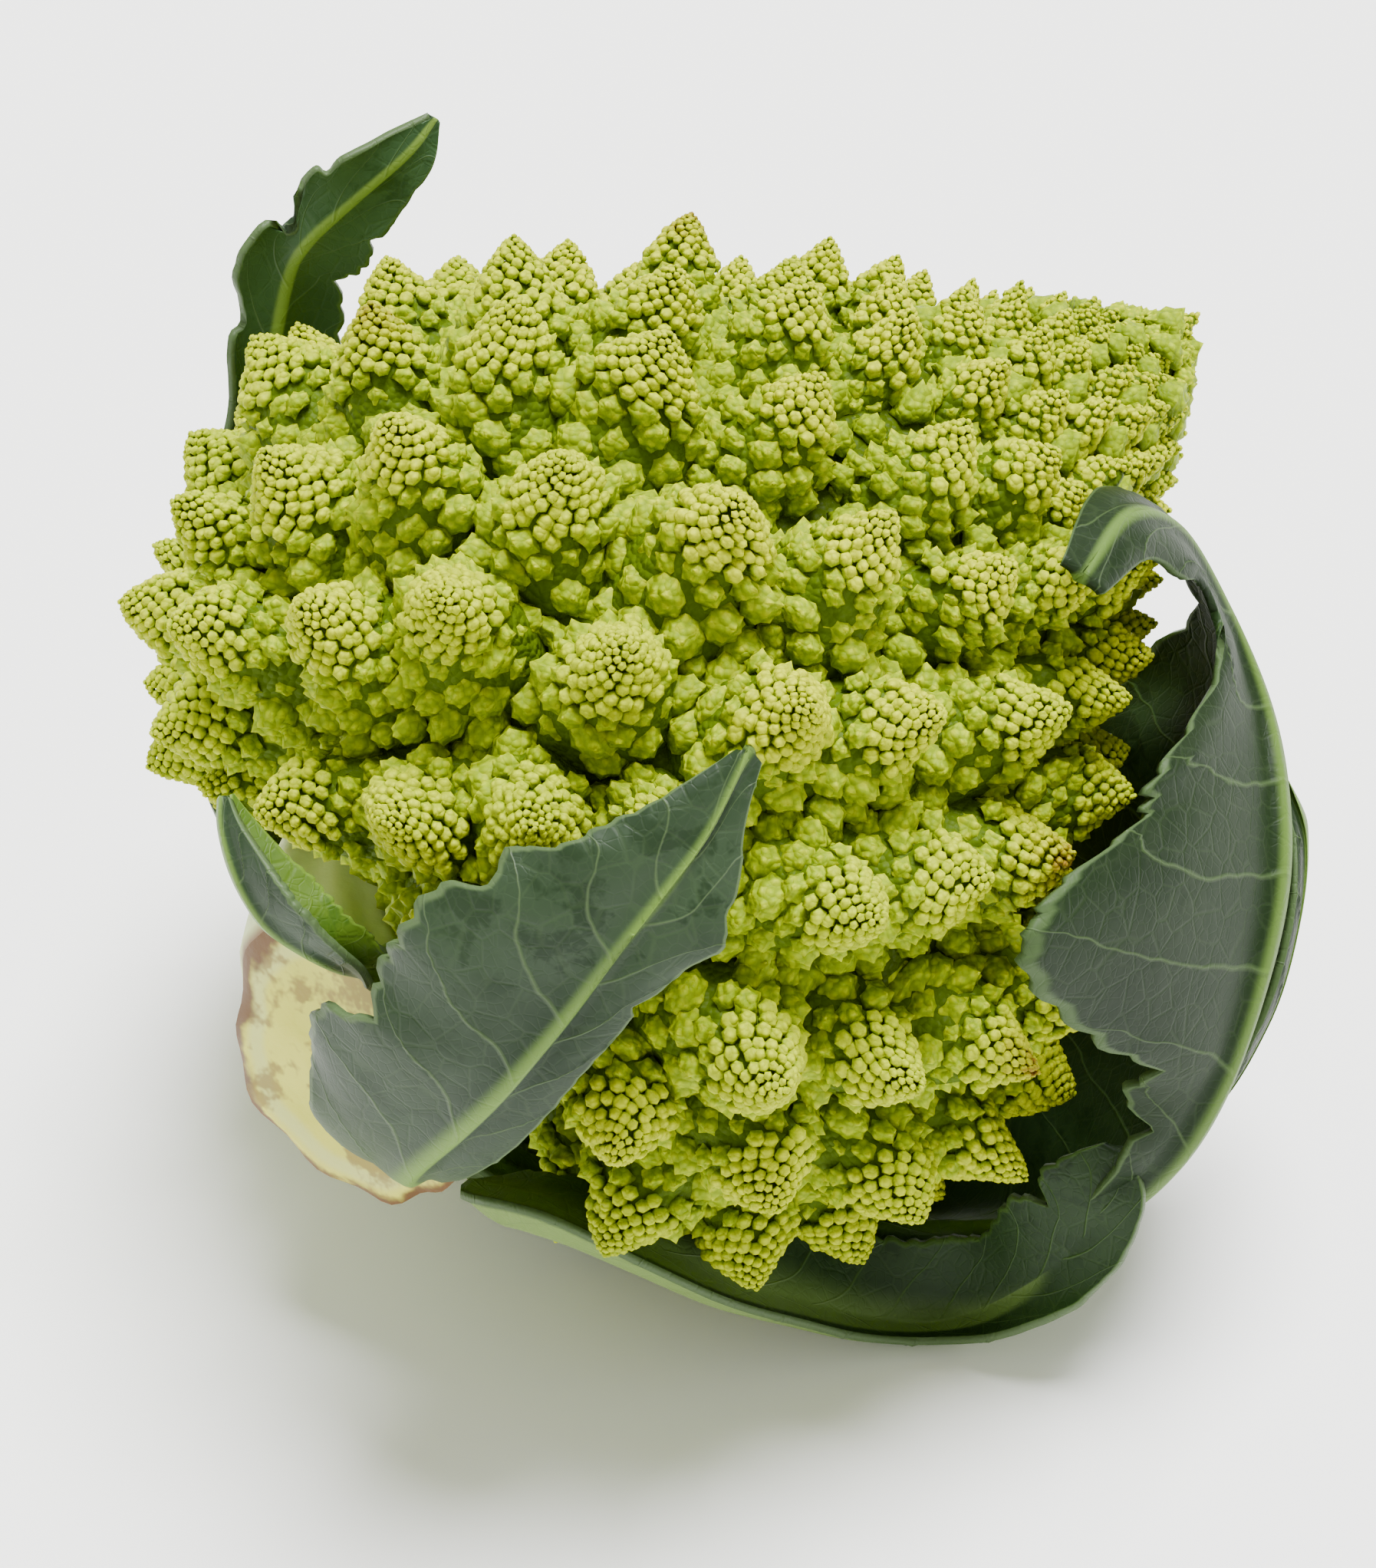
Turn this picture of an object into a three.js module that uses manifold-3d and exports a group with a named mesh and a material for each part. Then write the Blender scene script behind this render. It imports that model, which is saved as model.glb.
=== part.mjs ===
// A romanesco head lying on its side: the pointed curd rises to the right, away from the viewer,
// and the short cut stalk faces the viewer at the lower left, with six leaves round the curd.
// Millimetres, +Z up, +Y away from the viewer, origin on the surface under the middle.
import * as THREE from 'three';
import { ConvexHull } from 'three/addons/math/ConvexHull.js';
import { mergeVertices } from 'three/addons/utils/BufferGeometryUtils.js';
import Module from 'manifold-3d';

const wasm = await Module();
wasm.setup();

const { degToRad } = THREE.MathUtils;

// Where the head lies.
const HEAD_HEIGHT = 73;
const HEAD_HEADING = degToRad(29);
const HEAD_RISE = degToRad(25.5);
const VIEW_TILT = degToRad(40);
const APEX_TO_CENTRE = 93;
const CURD_LENGTH = 140;
// The whole part is moved so that the origin is under the middle of its box.
const SEAT = [-6.15, 5.15, 0];

// The surface that the floret tips reach: distance back from the apex, and radius.
const TIP_PROFILE = [
  [0, 0], [12, 11.8], [24, 25.7], [38, 41], [52, 54], [72, 69.5],
  [90, 75.5], [104, 76], [122, 71.5], [138, 61], [148, 46], [152, 36],
];

// The florets wind round the head by the golden angle and grow with the distance from the apex.
const GOLDEN_ANGLE = degToRad(137.508);
const FIRST_TURN = degToRad(24.7);
const FIRST_FLORET_AT = 5;
const SIZE_GROWTH = 0.283;
const LARGEST_FLORET = 24.5;
const PACKING = 0.85;
const SMALLEST_SOLID_FLORET = 4.6;
const APEX_LEAN = 0.2;
// How far a floret may stray from the rule, in its turn, lean, reach and size.
const TURN_STRAY = 0.14;
const LEAN_STRAY = 0.3;
const REACH_STRAY = 0.14;
const SIZE_STRAY = 0.2;
// The right leaf presses the curd in: where, how deep, and over what angle.
const PRESSED_SIDE = [64, -8, -16];
const PRESSED_DEPTH = 12;
const PRESSED_ANGLE = 0.42;
// The ball that the florets are spread over to find their neighbours.
const BALL_RADIUS = 100;
const APEX_SPREAD = -4.4;
// Depth of the furrows between florets, as parts of a floret's size.
const FURROW_DEPTH = 0.58;
const DIP_DEPTH = 0.74;
// A floret's rings of knobs: how far down the slope, and how far they stand out of it.
const KNOB_RINGS_FROM = 19;
const SMALL_KNOBS = [[[0.5, 0.12], [0.42, 0.2]]];
const BIG_KNOBS = [[[0.3, 0.14], [0.24, 0.03]], [[0.64, 0.12], [0.68, 0.26]]];

// Where two pieces meet.
const GAP = 0.35;
const BLADE = 1.3;

// Directions of the head, and of the view that the leaves are measured in.
const axis = new THREE.Vector3(
  Math.cos(HEAD_RISE) * Math.cos(HEAD_HEADING),
  Math.cos(HEAD_RISE) * Math.sin(HEAD_HEADING),
  Math.sin(HEAD_RISE),
);
const viewUp = new THREE.Vector3(0, Math.sin(VIEW_TILT), Math.cos(VIEW_TILT));
const viewNear = new THREE.Vector3(0, -Math.cos(VIEW_TILT), Math.sin(VIEW_TILT));
const centre = new THREE.Vector3(0, 0, HEAD_HEIGHT);
const apex = centre.clone().addScaledVector(axis, APEX_TO_CENTRE);
const nearSide = viewNear.clone().addScaledVector(axis, -viewNear.dot(axis)).normalize();
const lowSide = new THREE.Vector3().crossVectors(axis, nearSide);

// A point given as right, up and near, in millimetres from the middle of the head.
function seen([right, up, near]) {
  return new THREE.Vector3(right, 0, 0)
    .addScaledVector(viewUp, up)
    .addScaledVector(viewNear, near)
    .add(centre);
}

// A closed mesh from points and triangles, as a solid that can be joined and cut.
function solidFrom(points, triangles) {
  const geometry = new THREE.BufferGeometry();
  const coordinates = points.flatMap((p) => [p.x, p.y, p.z]);
  geometry.setAttribute('position', new THREE.Float32BufferAttribute(coordinates, 3));
  geometry.setIndex(triangles);
  return solidFromGeometry(geometry);
}

function solidFromGeometry(geometry) {
  geometry.deleteAttribute('normal');
  geometry.deleteAttribute('uv');
  const merged = mergeVertices(geometry);
  return new wasm.Manifold(new wasm.Mesh({
    numProp: 3,
    vertProperties: new Float32Array(merged.attributes.position.array),
    triVerts: new Uint32Array(merged.index.array),
  }));
}

function largestBody(solid) {
  const bodies = solid.decompose();
  return bodies.reduce((best, body) => (body.volume() > best.volume() ? body : best));
}

function meshFrom(solid, name, colour, roughness) {
  const data = solid.getMesh();
  const geometry = new THREE.BufferGeometry();
  geometry.setAttribute('position', new THREE.BufferAttribute(data.vertProperties, 3));
  geometry.setIndex(new THREE.BufferAttribute(data.triVerts, 1));
  geometry.computeVertexNormals();
  const material = new THREE.MeshStandardMaterial({ color: colour, roughness, metalness: 0 });
  const mesh = new THREE.Mesh(geometry, material);
  mesh.name = name;
  return mesh;
}

// A skin over rings of points that all have the same count, closed by a point at each end.
function skinRings(rings, startPoint, endPoint) {
  const sides = rings[0].length;
  const points = rings.flat();
  const triangles = [];
  for (let i = 0; i < rings.length - 1; i += 1) {
    for (let j = 0; j < sides; j += 1) {
      const a = i * sides + j;
      const b = i * sides + ((j + 1) % sides);
      const c = b + sides;
      const d = a + sides;
      triangles.push(a, b, c, a, c, d);
    }
  }
  const start = points.push(startPoint) - 1;
  const end = points.push(endPoint) - 1;
  const last = (rings.length - 1) * sides;
  for (let j = 0; j < sides; j += 1) {
    const next = (j + 1) % sides;
    triangles.push(start, next, j);
    triangles.push(end, last + j, last + next);
  }
  return solidFrom(points, triangles);
}

function ringAt(middle, across, along, radii) {
  return radii.map((radius, j) => {
    const angle = (j / radii.length) * 2 * Math.PI;
    return middle.clone()
      .addScaledVector(across, Math.cos(angle) * radius)
      .addScaledVector(along, Math.sin(angle) * radius);
  });
}

// Two directions square to a given one.
function squareTo(direction) {
  const hint = Math.abs(direction.z) < 0.9 ? new THREE.Vector3(0, 0, 1) : new THREE.Vector3(1, 0, 0);
  const across = new THREE.Vector3().crossVectors(hint, direction).normalize();
  return [across, new THREE.Vector3().crossVectors(direction, across)];
}

// Seeded draws between -0.5 and 0.5, the same on every run.
let drawn = 7;
function draw() {
  drawn = (drawn * 1664525 + 1013904223) % 4294967296;
  return drawn / 4294967296 - 0.5;
}

const pressedSide = seen(PRESSED_SIDE).sub(centre);
function pressIn(point) {
  const offset = point.clone().sub(centre);
  const share = Math.exp(-((offset.angleTo(pressedSide) / PRESSED_ANGLE) ** 2));
  return point.addScaledVector(offset.normalize(), -PRESSED_DEPTH * share);
}

// Every floret's tip, direction and size, from the apex to the stalk, with its place on a ball
// that the head's surface is spread over: neighbours there are neighbours on the head.
function placeFlorets() {
  const curve = new THREE.CatmullRomCurve3(
    TIP_PROFILE.map(([back, radius]) => new THREE.Vector3(back, radius, 0)),
    false,
    'catmullrom',
    0.5,
  );
  const length = curve.getLength();
  const florets = [];
  let travelled = FIRST_FLORET_AT;
  let spread = APEX_SPREAD;
  for (let n = 0; travelled < length; n += 1) {
    const at = curve.getPointAt(travelled / length);
    const slope = curve.getTangentAt(travelled / length);
    const size = Math.min(SIZE_GROWTH * travelled, LARGEST_FLORET);
    const angle = FIRST_TURN - GOLDEN_ANGLE * n + draw() * TURN_STRAY;
    const radial = lowSide.clone().multiplyScalar(Math.cos(angle))
      .addScaledVector(nearSide, Math.sin(angle));
    const direction = radial.clone().multiplyScalar(slope.x)
      .addScaledVector(axis, slope.y + APEX_LEAN)
      .addScaledVector(lowSide, draw() * LEAN_STRAY)
      .addScaledVector(nearSide, draw() * LEAN_STRAY)
      .normalize();
    const reach = draw() * REACH_STRAY * size;
    const tip = pressIn(apex.clone().addScaledVector(axis, -at.x).addScaledVector(radial, at.y)
      .addScaledVector(direction, reach));
    const polar = 2 * Math.atan(Math.exp(spread));
    const onBall = new THREE.Vector3().setFromSphericalCoords(BALL_RADIUS, polar, -angle);
    florets.push({ tip, direction, size: size * (1 + draw() * SIZE_STRAY), onBall });
    const step = (PACKING * size * size) / (2 * Math.PI * at.y);
    travelled += step;
    spread += step / at.y;
  }
  return florets;
}

// The curd as one skin. Every floret is a cone of knobs that runs down to the furrow round it,
// with a dip in the furrow wherever three florets meet.
function curdSolid(florets) {
  const indexOf = new Map(florets.map(({ onBall }, index) => [onBall, index]));
  const hull = new ConvexHull().setFromPoints(florets.map(({ onBall }) => onBall));
  const points = florets.map(({ tip }) => tip.clone());
  const triangles = [];
  const known = new Map();
  const pointAt = (key, make) => {
    if (!known.has(key)) known.set(key, points.push(make()) - 1);
    return known.get(key);
  };
  const meeting = (owners, depth) => {
    const sum = new THREE.Vector3();
    for (const owner of owners) {
      const { tip, direction, size } = florets[owner];
      sum.add(tip).addScaledVector(direction, -depth * size);
    }
    return sum.divideScalar(owners.length);
  };
  const knob = (owner, foot, [reach, lift], name) => pointAt(`${name} ${owner} ${foot}`, () => {
    const { tip, direction, size } = florets[owner];
    return tip.clone().lerp(points[foot], reach).addScaledVector(direction, lift * size);
  });
  for (const face of hull.faces) {
    const corners = [0, 1, 2].map((k) => indexOf.get(face.getEdge(k).head().point));
    const dip = pointAt(`dip ${corners}`, () => meeting(corners, DIP_DEPTH));
    const furrow = (a, b) => {
      const pair = a < b ? [a, b] : [b, a];
      return pointAt(`furrow ${pair}`, () => meeting(pair, FURROW_DEPTH));
    };
    corners.forEach((owner, k) => {
      const feet = [furrow(owner, corners[(k + 1) % 3]), dip, furrow(owner, corners[(k + 2) % 3])];
      const rings = florets[owner].size > KNOB_RINGS_FROM ? BIG_KNOBS : SMALL_KNOBS;
      let upper = null;
      for (const [ring, shape] of rings.entries()) {
        const row = feet.map((foot, j) => knob(owner, foot, shape[j % 2], `knob${ring}`));
        if (upper === null) triangles.push(owner, row[0], row[1], owner, row[1], row[2]);
        else addBand(triangles, upper, row);
        upper = row;
      }
      addBand(triangles, upper, feet);
    });
  }
  return solidFrom(points, triangles);
}

function addBand(triangles, upper, lower) {
  triangles.push(upper[0], lower[0], lower[1], upper[0], lower[1], upper[1]);
  triangles.push(upper[1], lower[1], lower[2], upper[1], lower[2], upper[2]);
}

// The short stalk, from inside the curd to the slanting cut face.
const STALK_START = [-33, -26, 2];
const STALK_CUT = [-41, -45, 22];
const STALK_RADIUS = 20.5;
const CUT_FACING = [-0.58, -0.43, 0.69];
const STALK_BEND = 12;
const STALK_LOBES = 3;
const STALK_LOBE_HEIGHT = 0.9;
const STALK_SIDES = 20;
const STALK_STEPS = 5;
// Florets this far from the cut, in parts of their size, are left out.
const STALK_CLEARANCE = 0.35;

function stalkSolid(extra) {
  const facing = seen(CUT_FACING).sub(centre).normalize();
  const startFacing = axis.clone().negate();
  const start = seen(STALK_START).addScaledVector(startFacing, -extra);
  const cut = seen(STALK_CUT).addScaledVector(facing, extra);
  const bend = start.clone().addScaledVector(startFacing, STALK_BEND);
  const path = new THREE.QuadraticBezierCurve3(start, bend, cut);
  const radii = Array.from({ length: STALK_SIDES }, (unused, j) => (
    STALK_RADIUS + extra
    + STALK_LOBE_HEIGHT * Math.sin((STALK_LOBES * j * 2 * Math.PI) / STALK_SIDES + 1)
  ));
  const loops = [];
  for (let i = 0; i <= STALK_STEPS; i += 1) {
    const t = i / STALK_STEPS;
    const direction = startFacing.clone().lerp(facing, t).normalize();
    const [across, along] = squareTo(direction);
    loops.push(ringAt(path.getPoint(t), across, along, radii));
  }
  return skinRings(loops, start, cut);
}

// Leaves. Each row is a station from the base to the tip: the rib, then one edge and the other.
const LEAVES = {
  leaf_under: {
    colour: 0x3f5f3a,
    ribWidth: [5, 2],
    ribHeight: [4.5, 2],
    bulge: 2,
    stations: [
      [[-26, -60, 14], [-29, -61, 19], [-22, -59, 9]],
      [[-15, -62, 22], [-16, -63, 27], [-12, -59, 14]],
      [[-3, -68, 16], [-3, -70, 21], [1, -60, 8]],
      [[8, -74, 8], [8, -76, 13], [11, -63, 0]],
      [[18, -78, -1], [18, -80, 4], [20, -67, -7]],
      [[27, -81, -8], [27, -83, -3], [28, -69, -10]],
      [[37, -82, -12], [37, -84, -7], [37, -70, -9]],
      [[45, -79, -7], [47, -82, -1], [43, -68, -5]],
      [[53, -72, 2], [58, -75, 7], [46, -63, 3]],
      [[58, -64, 10], [63, -64, 13], [50, -58, 8]],
      [[60, -56, 13], [61.5, -56, 14], [58, -55, 12]],
    ],
  },
  leaf_right: {
    colour: 0x56705f,
    ribWidth: [5, 2],
    ribHeight: [4.5, 0.8],
    bulge: 3,
    stations: [
      [[-36, -50, -10], [-38, -51, -5], [-34, -48, -15]],
      [[-20, -63, -21], [-20, -65, -15], [-20, -60, -26]],
      [[-3, -68, -28], [-3, -70, -22], [-3, -64, -33]],
      [[14, -69, -28], [15, -72, -22], [13, -65, -33]],
      [[30, -69, -21], [31, -73, -17], [28, -65, -29]],
      [[44, -68, -9], [43, -72, -10], [41, -60, -23]],
      [[57, -64, 4], [53, -66, 4], [52, -54, -20]],
      [[65, -57, 12], [59, -57, 17], [58, -46, -24]],
      [[71, -47, 16], [59, -47, 25], [62, -34, -29]],
      [[76, -33, 18], [52, -40, 38], [63, -22, -31]],
      [[79, -20, 18], [42, -29, 57], [60, -12, -31]],
      [[79.5, -8, 15], [45, -20, 57], [58, -3, -28]],
      [[78, 3, 11], [56, -10, 44], [63, 9, -21]],
      [[73, 15, 12], [67, 5, 25], [68, 21, -2]],
      [[66, 25, 20], [66, 17, 27], [63, 28, 11]],
      [[58, 26, 34], [61, 21, 34], [55, 30, 29]],
      [[51, 18, 45], [54, 16, 45], [49, 20, 46]],
    ],
  },
  leaf_right_outer: {
    colour: 0x5d7a58,
    ribWidth: [4.5, 1.5],
    ribHeight: [4, 1],
    bulge: 3,
    stations: [
      [[-38, -42, -20], [-41, -43, -15], [-35, -40, -25]],
      [[-20, -56, -30], [-21, -59, -26], [-20, -51, -34]],
      [[0, -62, -34], [0, -65, -31], [0, -57, -39]],
      [[20, -63, -34], [21, -66, -30], [19, -57, -40]],
      [[39, -62, -27], [40, -66, -22], [38, -54, -37]],
      [[56, -59, -13], [56, -62, -7], [56, -48, -30]],
      [[70, -52, 0], [69, -54, 6], [71, -38, -22]],
      [[78, -39, 8], [77, -41, 14], [78, -26, -22]],
      [[82, -26, 10], [81.5, -28, 15], [80, -16, -22]],
      [[83.5, -15, 8], [83, -17, 12], [81, -8, -14]],
      [[82, -7, 4], [82.5, -9, 6], [81, -5, 2]],
    ],
  },
  leaf_front: {
    colour: 0x5f7a6c,
    ribWidth: [6, 1.5],
    ribHeight: [2.5, 1],
    bulge: 3,
    stations: [
      [[-24, -52, 14], [-31, -53, 18], [-19, -52, 14]],
      [[-31, -56, 29], [-42, -51, 33], [-26, -56, 31]],
      [[-30, -54.5, 43], [-44, -43, 44], [-25, -56, 45]],
      [[-24, -49, 56], [-43, -35, 53], [-18, -51, 56]],
      [[-18, -43, 65], [-36, -31, 63], [-11, -43, 66]],
      [[-12, -36, 71], [-31, -23, 70], [-5, -36, 72]],
      [[-6, -28, 76], [-22, -16, 76], [2, -29, 76]],
      [[0, -20, 79], [-12, -14, 79], [8, -25, 78]],
      [[5, -13, 80], [-2, -10, 81], [9, -13, 80]],
      [[10, -3, 81], [8.5, -4, 81], [11, -5, 81]],
    ],
  },
  leaf_back: {
    colour: 0x3c5f3c,
    ribWidth: [4.5, 1],
    ribHeight: [4, 0.8],
    bulge: 3,
    stations: [
      [[-44, -28, -6], [-42, -31, -12], [-47, -25, 0]],
      [[-58, -16, -24], [-53, -20, -32], [-62, -12, -15]],
      [[-62, 2, -37], [-55, -2, -46], [-67, 7, -27]],
      [[-61, 22, -39], [-52, 17, -48], [-66, 27, -28]],
      [[-58, 39, -32], [-48, 36, -41], [-65, 44, -22]],
      [[-56, 51, -22], [-46, 50, -28], [-63, 54, -14]],
      [[-53, 62.5, -15], [-43, 61, -20], [-61, 65, -8]],
      [[-50, 67, -11], [-40, 65, -16], [-57, 71, -5]],
      [[-43.5, 72.7, -9], [-37, 70.5, -13], [-49, 76, -4]],
      [[-35.6, 79.4, -8], [-32.6, 77.5, -10], [-38.5, 81.5, -6]],
      [[-32, 84.2, -8], [-31.4, 83.6, -8.5], [-32.8, 84.3, -7.5]],
    ],
  },
  leaf_small: {
    colour: 0x6f9a34,
    ribWidth: [2.5, 0.9],
    ribHeight: [1.5, 0.6],
    bulge: 0.8,
    stations: [
      [[-34, -29, 34], [-35, -31, 34], [-31, -28, 34]],
      [[-37, -30, 43], [-36, -33, 45], [-32, -29, 44]],
      [[-40, -29, 51], [-37, -30, 54], [-33.5, -28.5, 51]],
      [[-43.5, -27, 57], [-39.5, -26.8, 61.5], [-35.5, -26, 54.5]],
      [[-47, -24.5, 59.5], [-42.5, -23, 65.5], [-39, -22.5, 56]],
      [[-49.6, -21, 60], [-45.2, -19.6, 65.5], [-42.8, -18.8, 56.5]],
      [[-51.5, -17, 60], [-48, -16, 63.5], [-47, -15, 57]],
      [[-52.8, -12.5, 59], [-50.8, -12.2, 61], [-50.2, -11.5, 57]],
      [[-53, -9, 58], [-52.4, -9.2, 58.6], [-52.4, -8.8, 57.4]],
    ],
  },
};

const LEAF_STEPS = 16;
// The columns of a blade, from one edge to the other: the rib lies between its two rib columns.
const RIB_COLUMN = 0.25;
const BLADE_COLUMNS = [-1, -0.6, -RIB_COLUMN, 0, RIB_COLUMN, 0.6, 1];
// A rib fills this much of its blade at most, and narrow blades bulge less than the full width does.
const RIB_LIMIT = 0.9;
const FULL_WIDTH = 20;
// The row and column that tell a leaf's outer side from its inner side.
const OUTSIDE_ROW = 5;
const OUTSIDE_COLUMN = 3;

// A leaf as a thin curved blade through its stations, with a rib that stands out on its outer side.
function leafSolid({ stations, ribWidth, ribHeight, bulge }, extra) {
  const curves = [0, 1, 2].map((k) => new THREE.CatmullRomCurve3(
    stations.map((row) => seen(row[k])),
    false,
    'catmullrom',
    0.5,
  ));
  const columns = BLADE_COLUMNS.length;
  const rows = LEAF_STEPS + 1;
  const sheet = [];
  const ribShares = [];
  for (let i = 0; i < rows; i += 1) {
    const t = i / LEAF_STEPS;
    const [rib, left, right] = curves.map((curve) => curve.getPoint(t));
    const reach = curves[0].getTangent(t).multiplyScalar(i === 0 ? -extra : extra);
    const halfRib = THREE.MathUtils.lerp(ribWidth[0], ribWidth[1], t);
    for (const column of BLADE_COLUMNS) {
      const edge = column < 0 ? left : right;
      const width = edge.distanceTo(rib);
      const ribPart = Math.min(RIB_LIMIT, halfRib / width);
      const away = Math.abs(column);
      const share = away <= RIB_COLUMN ? (away / RIB_COLUMN) * ribPart
        : ribPart + ((away - RIB_COLUMN) / (1 - RIB_COLUMN)) * (1 - ribPart);
      const point = rib.clone().lerp(edge, share * (1 + extra / width));
      const outward = point.clone().sub(centre).normalize();
      const swell = 4 * share * (1 - share) * Math.min(1, width / FULL_WIDTH);
      point.addScaledVector(outward, bulge * swell);
      if (i === 0 || i === LEAF_STEPS) point.add(reach);
      sheet.push(point);
      ribShares.push(column === 0 ? THREE.MathUtils.lerp(ribHeight[0], ribHeight[1], t) : 0);
    }
  }
  const at = (i, j) => sheet[i * columns + j];
  const normals = sheet.map((unused, index) => {
    const i = Math.floor(index / columns);
    const j = index % columns;
    const along = at(Math.min(i + 1, rows - 1), j).clone().sub(at(Math.max(i - 1, 0), j));
    const across = at(i, Math.min(j + 1, columns - 1)).clone().sub(at(i, Math.max(j - 1, 0)));
    return across.cross(along).normalize();
  });
  const middle = OUTSIDE_ROW * columns + OUTSIDE_COLUMN;
  const facing = normals[middle].dot(sheet[middle].clone().sub(centre)) > 0 ? 1 : -1;
  const outer = sheet.map((point, k) => (
    point.clone().addScaledVector(normals[k], facing * (BLADE / 2 + extra + ribShares[k]))
  ));
  const inner = sheet.map((point, k) => (
    point.clone().addScaledVector(normals[k], -facing * (BLADE / 2 + extra))
  ));
  const points = [...outer, ...inner];
  const under = sheet.length;
  const triangles = [];
  const addTriangle = (a, b, c) => (facing > 0 ? triangles.push(a, b, c) : triangles.push(a, c, b));
  for (let i = 0; i < rows - 1; i += 1) {
    for (let j = 0; j < columns - 1; j += 1) {
      const a = i * columns + j;
      const b = a + 1;
      const c = b + columns;
      const d = a + columns;
      addTriangle(a, b, c);
      addTriangle(a, c, d);
      addTriangle(a + under, c + under, b + under);
      addTriangle(a + under, d + under, c + under);
    }
  }
  const rim = [];
  for (let j = 0; j < columns - 1; j += 1) rim.push(j);
  for (let i = 0; i < rows - 1; i += 1) rim.push(i * columns + columns - 1);
  for (let j = columns - 1; j > 0; j -= 1) rim.push((rows - 1) * columns + j);
  for (let i = rows - 1; i > 0; i -= 1) rim.push(i * columns);
  rim.forEach((a, k) => {
    const b = rim[(k + 1) % rim.length];
    addTriangle(a, a + under, b + under);
    addTriangle(a, b + under, b);
  });
  return solidFrom(points, triangles);
}

// Everything above the surface that the head lies on.
const ROOM = 400;
const room = new THREE.BoxGeometry(ROOM, ROOM, ROOM);
room.translate(0, 0, ROOM / 2);
const aboveSurface = solidFromGeometry(room);

const stalk = stalkSolid(0);
const stalkSpace = stalkSolid(GAP);

const head = new THREE.Group();
const taken = [stalkSpace];
for (const [name, leaf] of Object.entries(LEAVES)) {
  let solid = leafSolid(leaf, 0).intersect(aboveSurface);
  for (const space of taken) solid = solid.subtract(space);
  taken.push(leafSolid(leaf, GAP));
  head.add(meshFrom(largestBody(solid), name, leaf.colour, 0.55));
}

// Florets give way where the stalk passes.
const stalkMiddle = seen(STALK_CUT);
const clearOfStalk = ({ tip, size }) => (
  tip.distanceTo(stalkMiddle) > STALK_RADIUS + STALK_CLEARANCE * size
);
const top = {
  tip: apex, direction: axis, size: SMALLEST_SOLID_FLORET, onBall: new THREE.Vector3(0, BALL_RADIUS, 0),
};
const bottom = {
  tip: apex.clone().addScaledVector(axis, -CURD_LENGTH),
  direction: axis.clone().negate(),
  size: SMALLEST_SOLID_FLORET,
  onBall: new THREE.Vector3(0, -BALL_RADIUS, 0),
};
const florets = placeFlorets()
  .filter((floret) => floret.size > SMALLEST_SOLID_FLORET)
  .filter(clearOfStalk);
let curd = curdSolid([top, ...florets, bottom]).intersect(aboveSurface);
for (const space of taken) curd = curd.subtract(space);
head.add(meshFrom(largestBody(curd), 'curd', 0xa9b52c, 0.6));
head.add(meshFrom(stalk, 'stalk', 0xd2dc98, 0.5));

head.position.set(...SEAT);

export default head;
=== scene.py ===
# A romanesco head lying on its side on a pale floor: a curd of spiralling florets built of buds
# and bumps, the short cut stalk, and six leaves with ribs, veins and toothed edges.
# Sizes are millimetres from the middle of the head until a mesh is written, in metres.
import math

import bpy
import numpy as np
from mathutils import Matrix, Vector, kdtree


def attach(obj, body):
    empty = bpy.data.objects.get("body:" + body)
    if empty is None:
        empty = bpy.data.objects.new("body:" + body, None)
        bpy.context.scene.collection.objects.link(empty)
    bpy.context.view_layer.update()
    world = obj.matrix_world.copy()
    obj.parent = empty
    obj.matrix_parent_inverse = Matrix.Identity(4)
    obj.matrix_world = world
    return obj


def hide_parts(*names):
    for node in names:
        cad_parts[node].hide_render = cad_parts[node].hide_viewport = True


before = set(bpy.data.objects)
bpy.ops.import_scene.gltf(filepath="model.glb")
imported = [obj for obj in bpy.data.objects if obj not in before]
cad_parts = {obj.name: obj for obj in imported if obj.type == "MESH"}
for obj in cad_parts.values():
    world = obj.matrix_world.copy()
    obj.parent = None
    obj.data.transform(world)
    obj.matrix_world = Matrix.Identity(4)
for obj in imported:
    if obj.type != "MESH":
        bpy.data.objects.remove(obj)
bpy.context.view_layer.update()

MM = 0.001
SEAT = np.array([-6.15, 5.15, 0.0])

# Where the head lies, and how it is looked at.
HEAD_HEIGHT = 73.0
HEAD_HEADING = math.radians(29)
HEAD_RISE = math.radians(25.5)
VIEW_TILT = math.radians(40)
APEX_TO_CENTRE = 93.0

AXIS = np.array([
    math.cos(HEAD_RISE) * math.cos(HEAD_HEADING),
    math.cos(HEAD_RISE) * math.sin(HEAD_HEADING),
    math.sin(HEAD_RISE),
])
VIEW_RIGHT = np.array([1.0, 0.0, 0.0])
VIEW_UP = np.array([0.0, math.sin(VIEW_TILT), math.cos(VIEW_TILT)])
VIEW_NEAR = np.array([0.0, -math.cos(VIEW_TILT), math.sin(VIEW_TILT)])
CENTRE = np.array([0.0, 0.0, HEAD_HEIGHT])
APEX = CENTRE + AXIS * APEX_TO_CENTRE
NEAR_SIDE = VIEW_NEAR - AXIS * VIEW_NEAR.dot(AXIS)
NEAR_SIDE /= np.linalg.norm(NEAR_SIDE)
LOW_SIDE = np.cross(AXIS, NEAR_SIDE)

# The surface that the floret tips reach: distance back from the apex, and radius.
TIP_PROFILE = [
    (0, 0), (12, 11.8), (24, 25.7), (38, 41), (52, 54), (72, 69.5),
    (90, 75.5), (104, 76), (122, 71.5), (138, 61), (148, 46), (152, 36),
]
# The florets wind round the head by the golden angle and grow with the distance from the apex.
GOLDEN_ANGLE = math.radians(137.508)
FIRST_TURN = math.radians(24.7)
FIRST_FLORET_AT = 5.0
SIZE_GROWTH = 0.283
LARGEST_FLORET = 24.5
PACKING = 0.85
APEX_LEAN = 0.2
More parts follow.
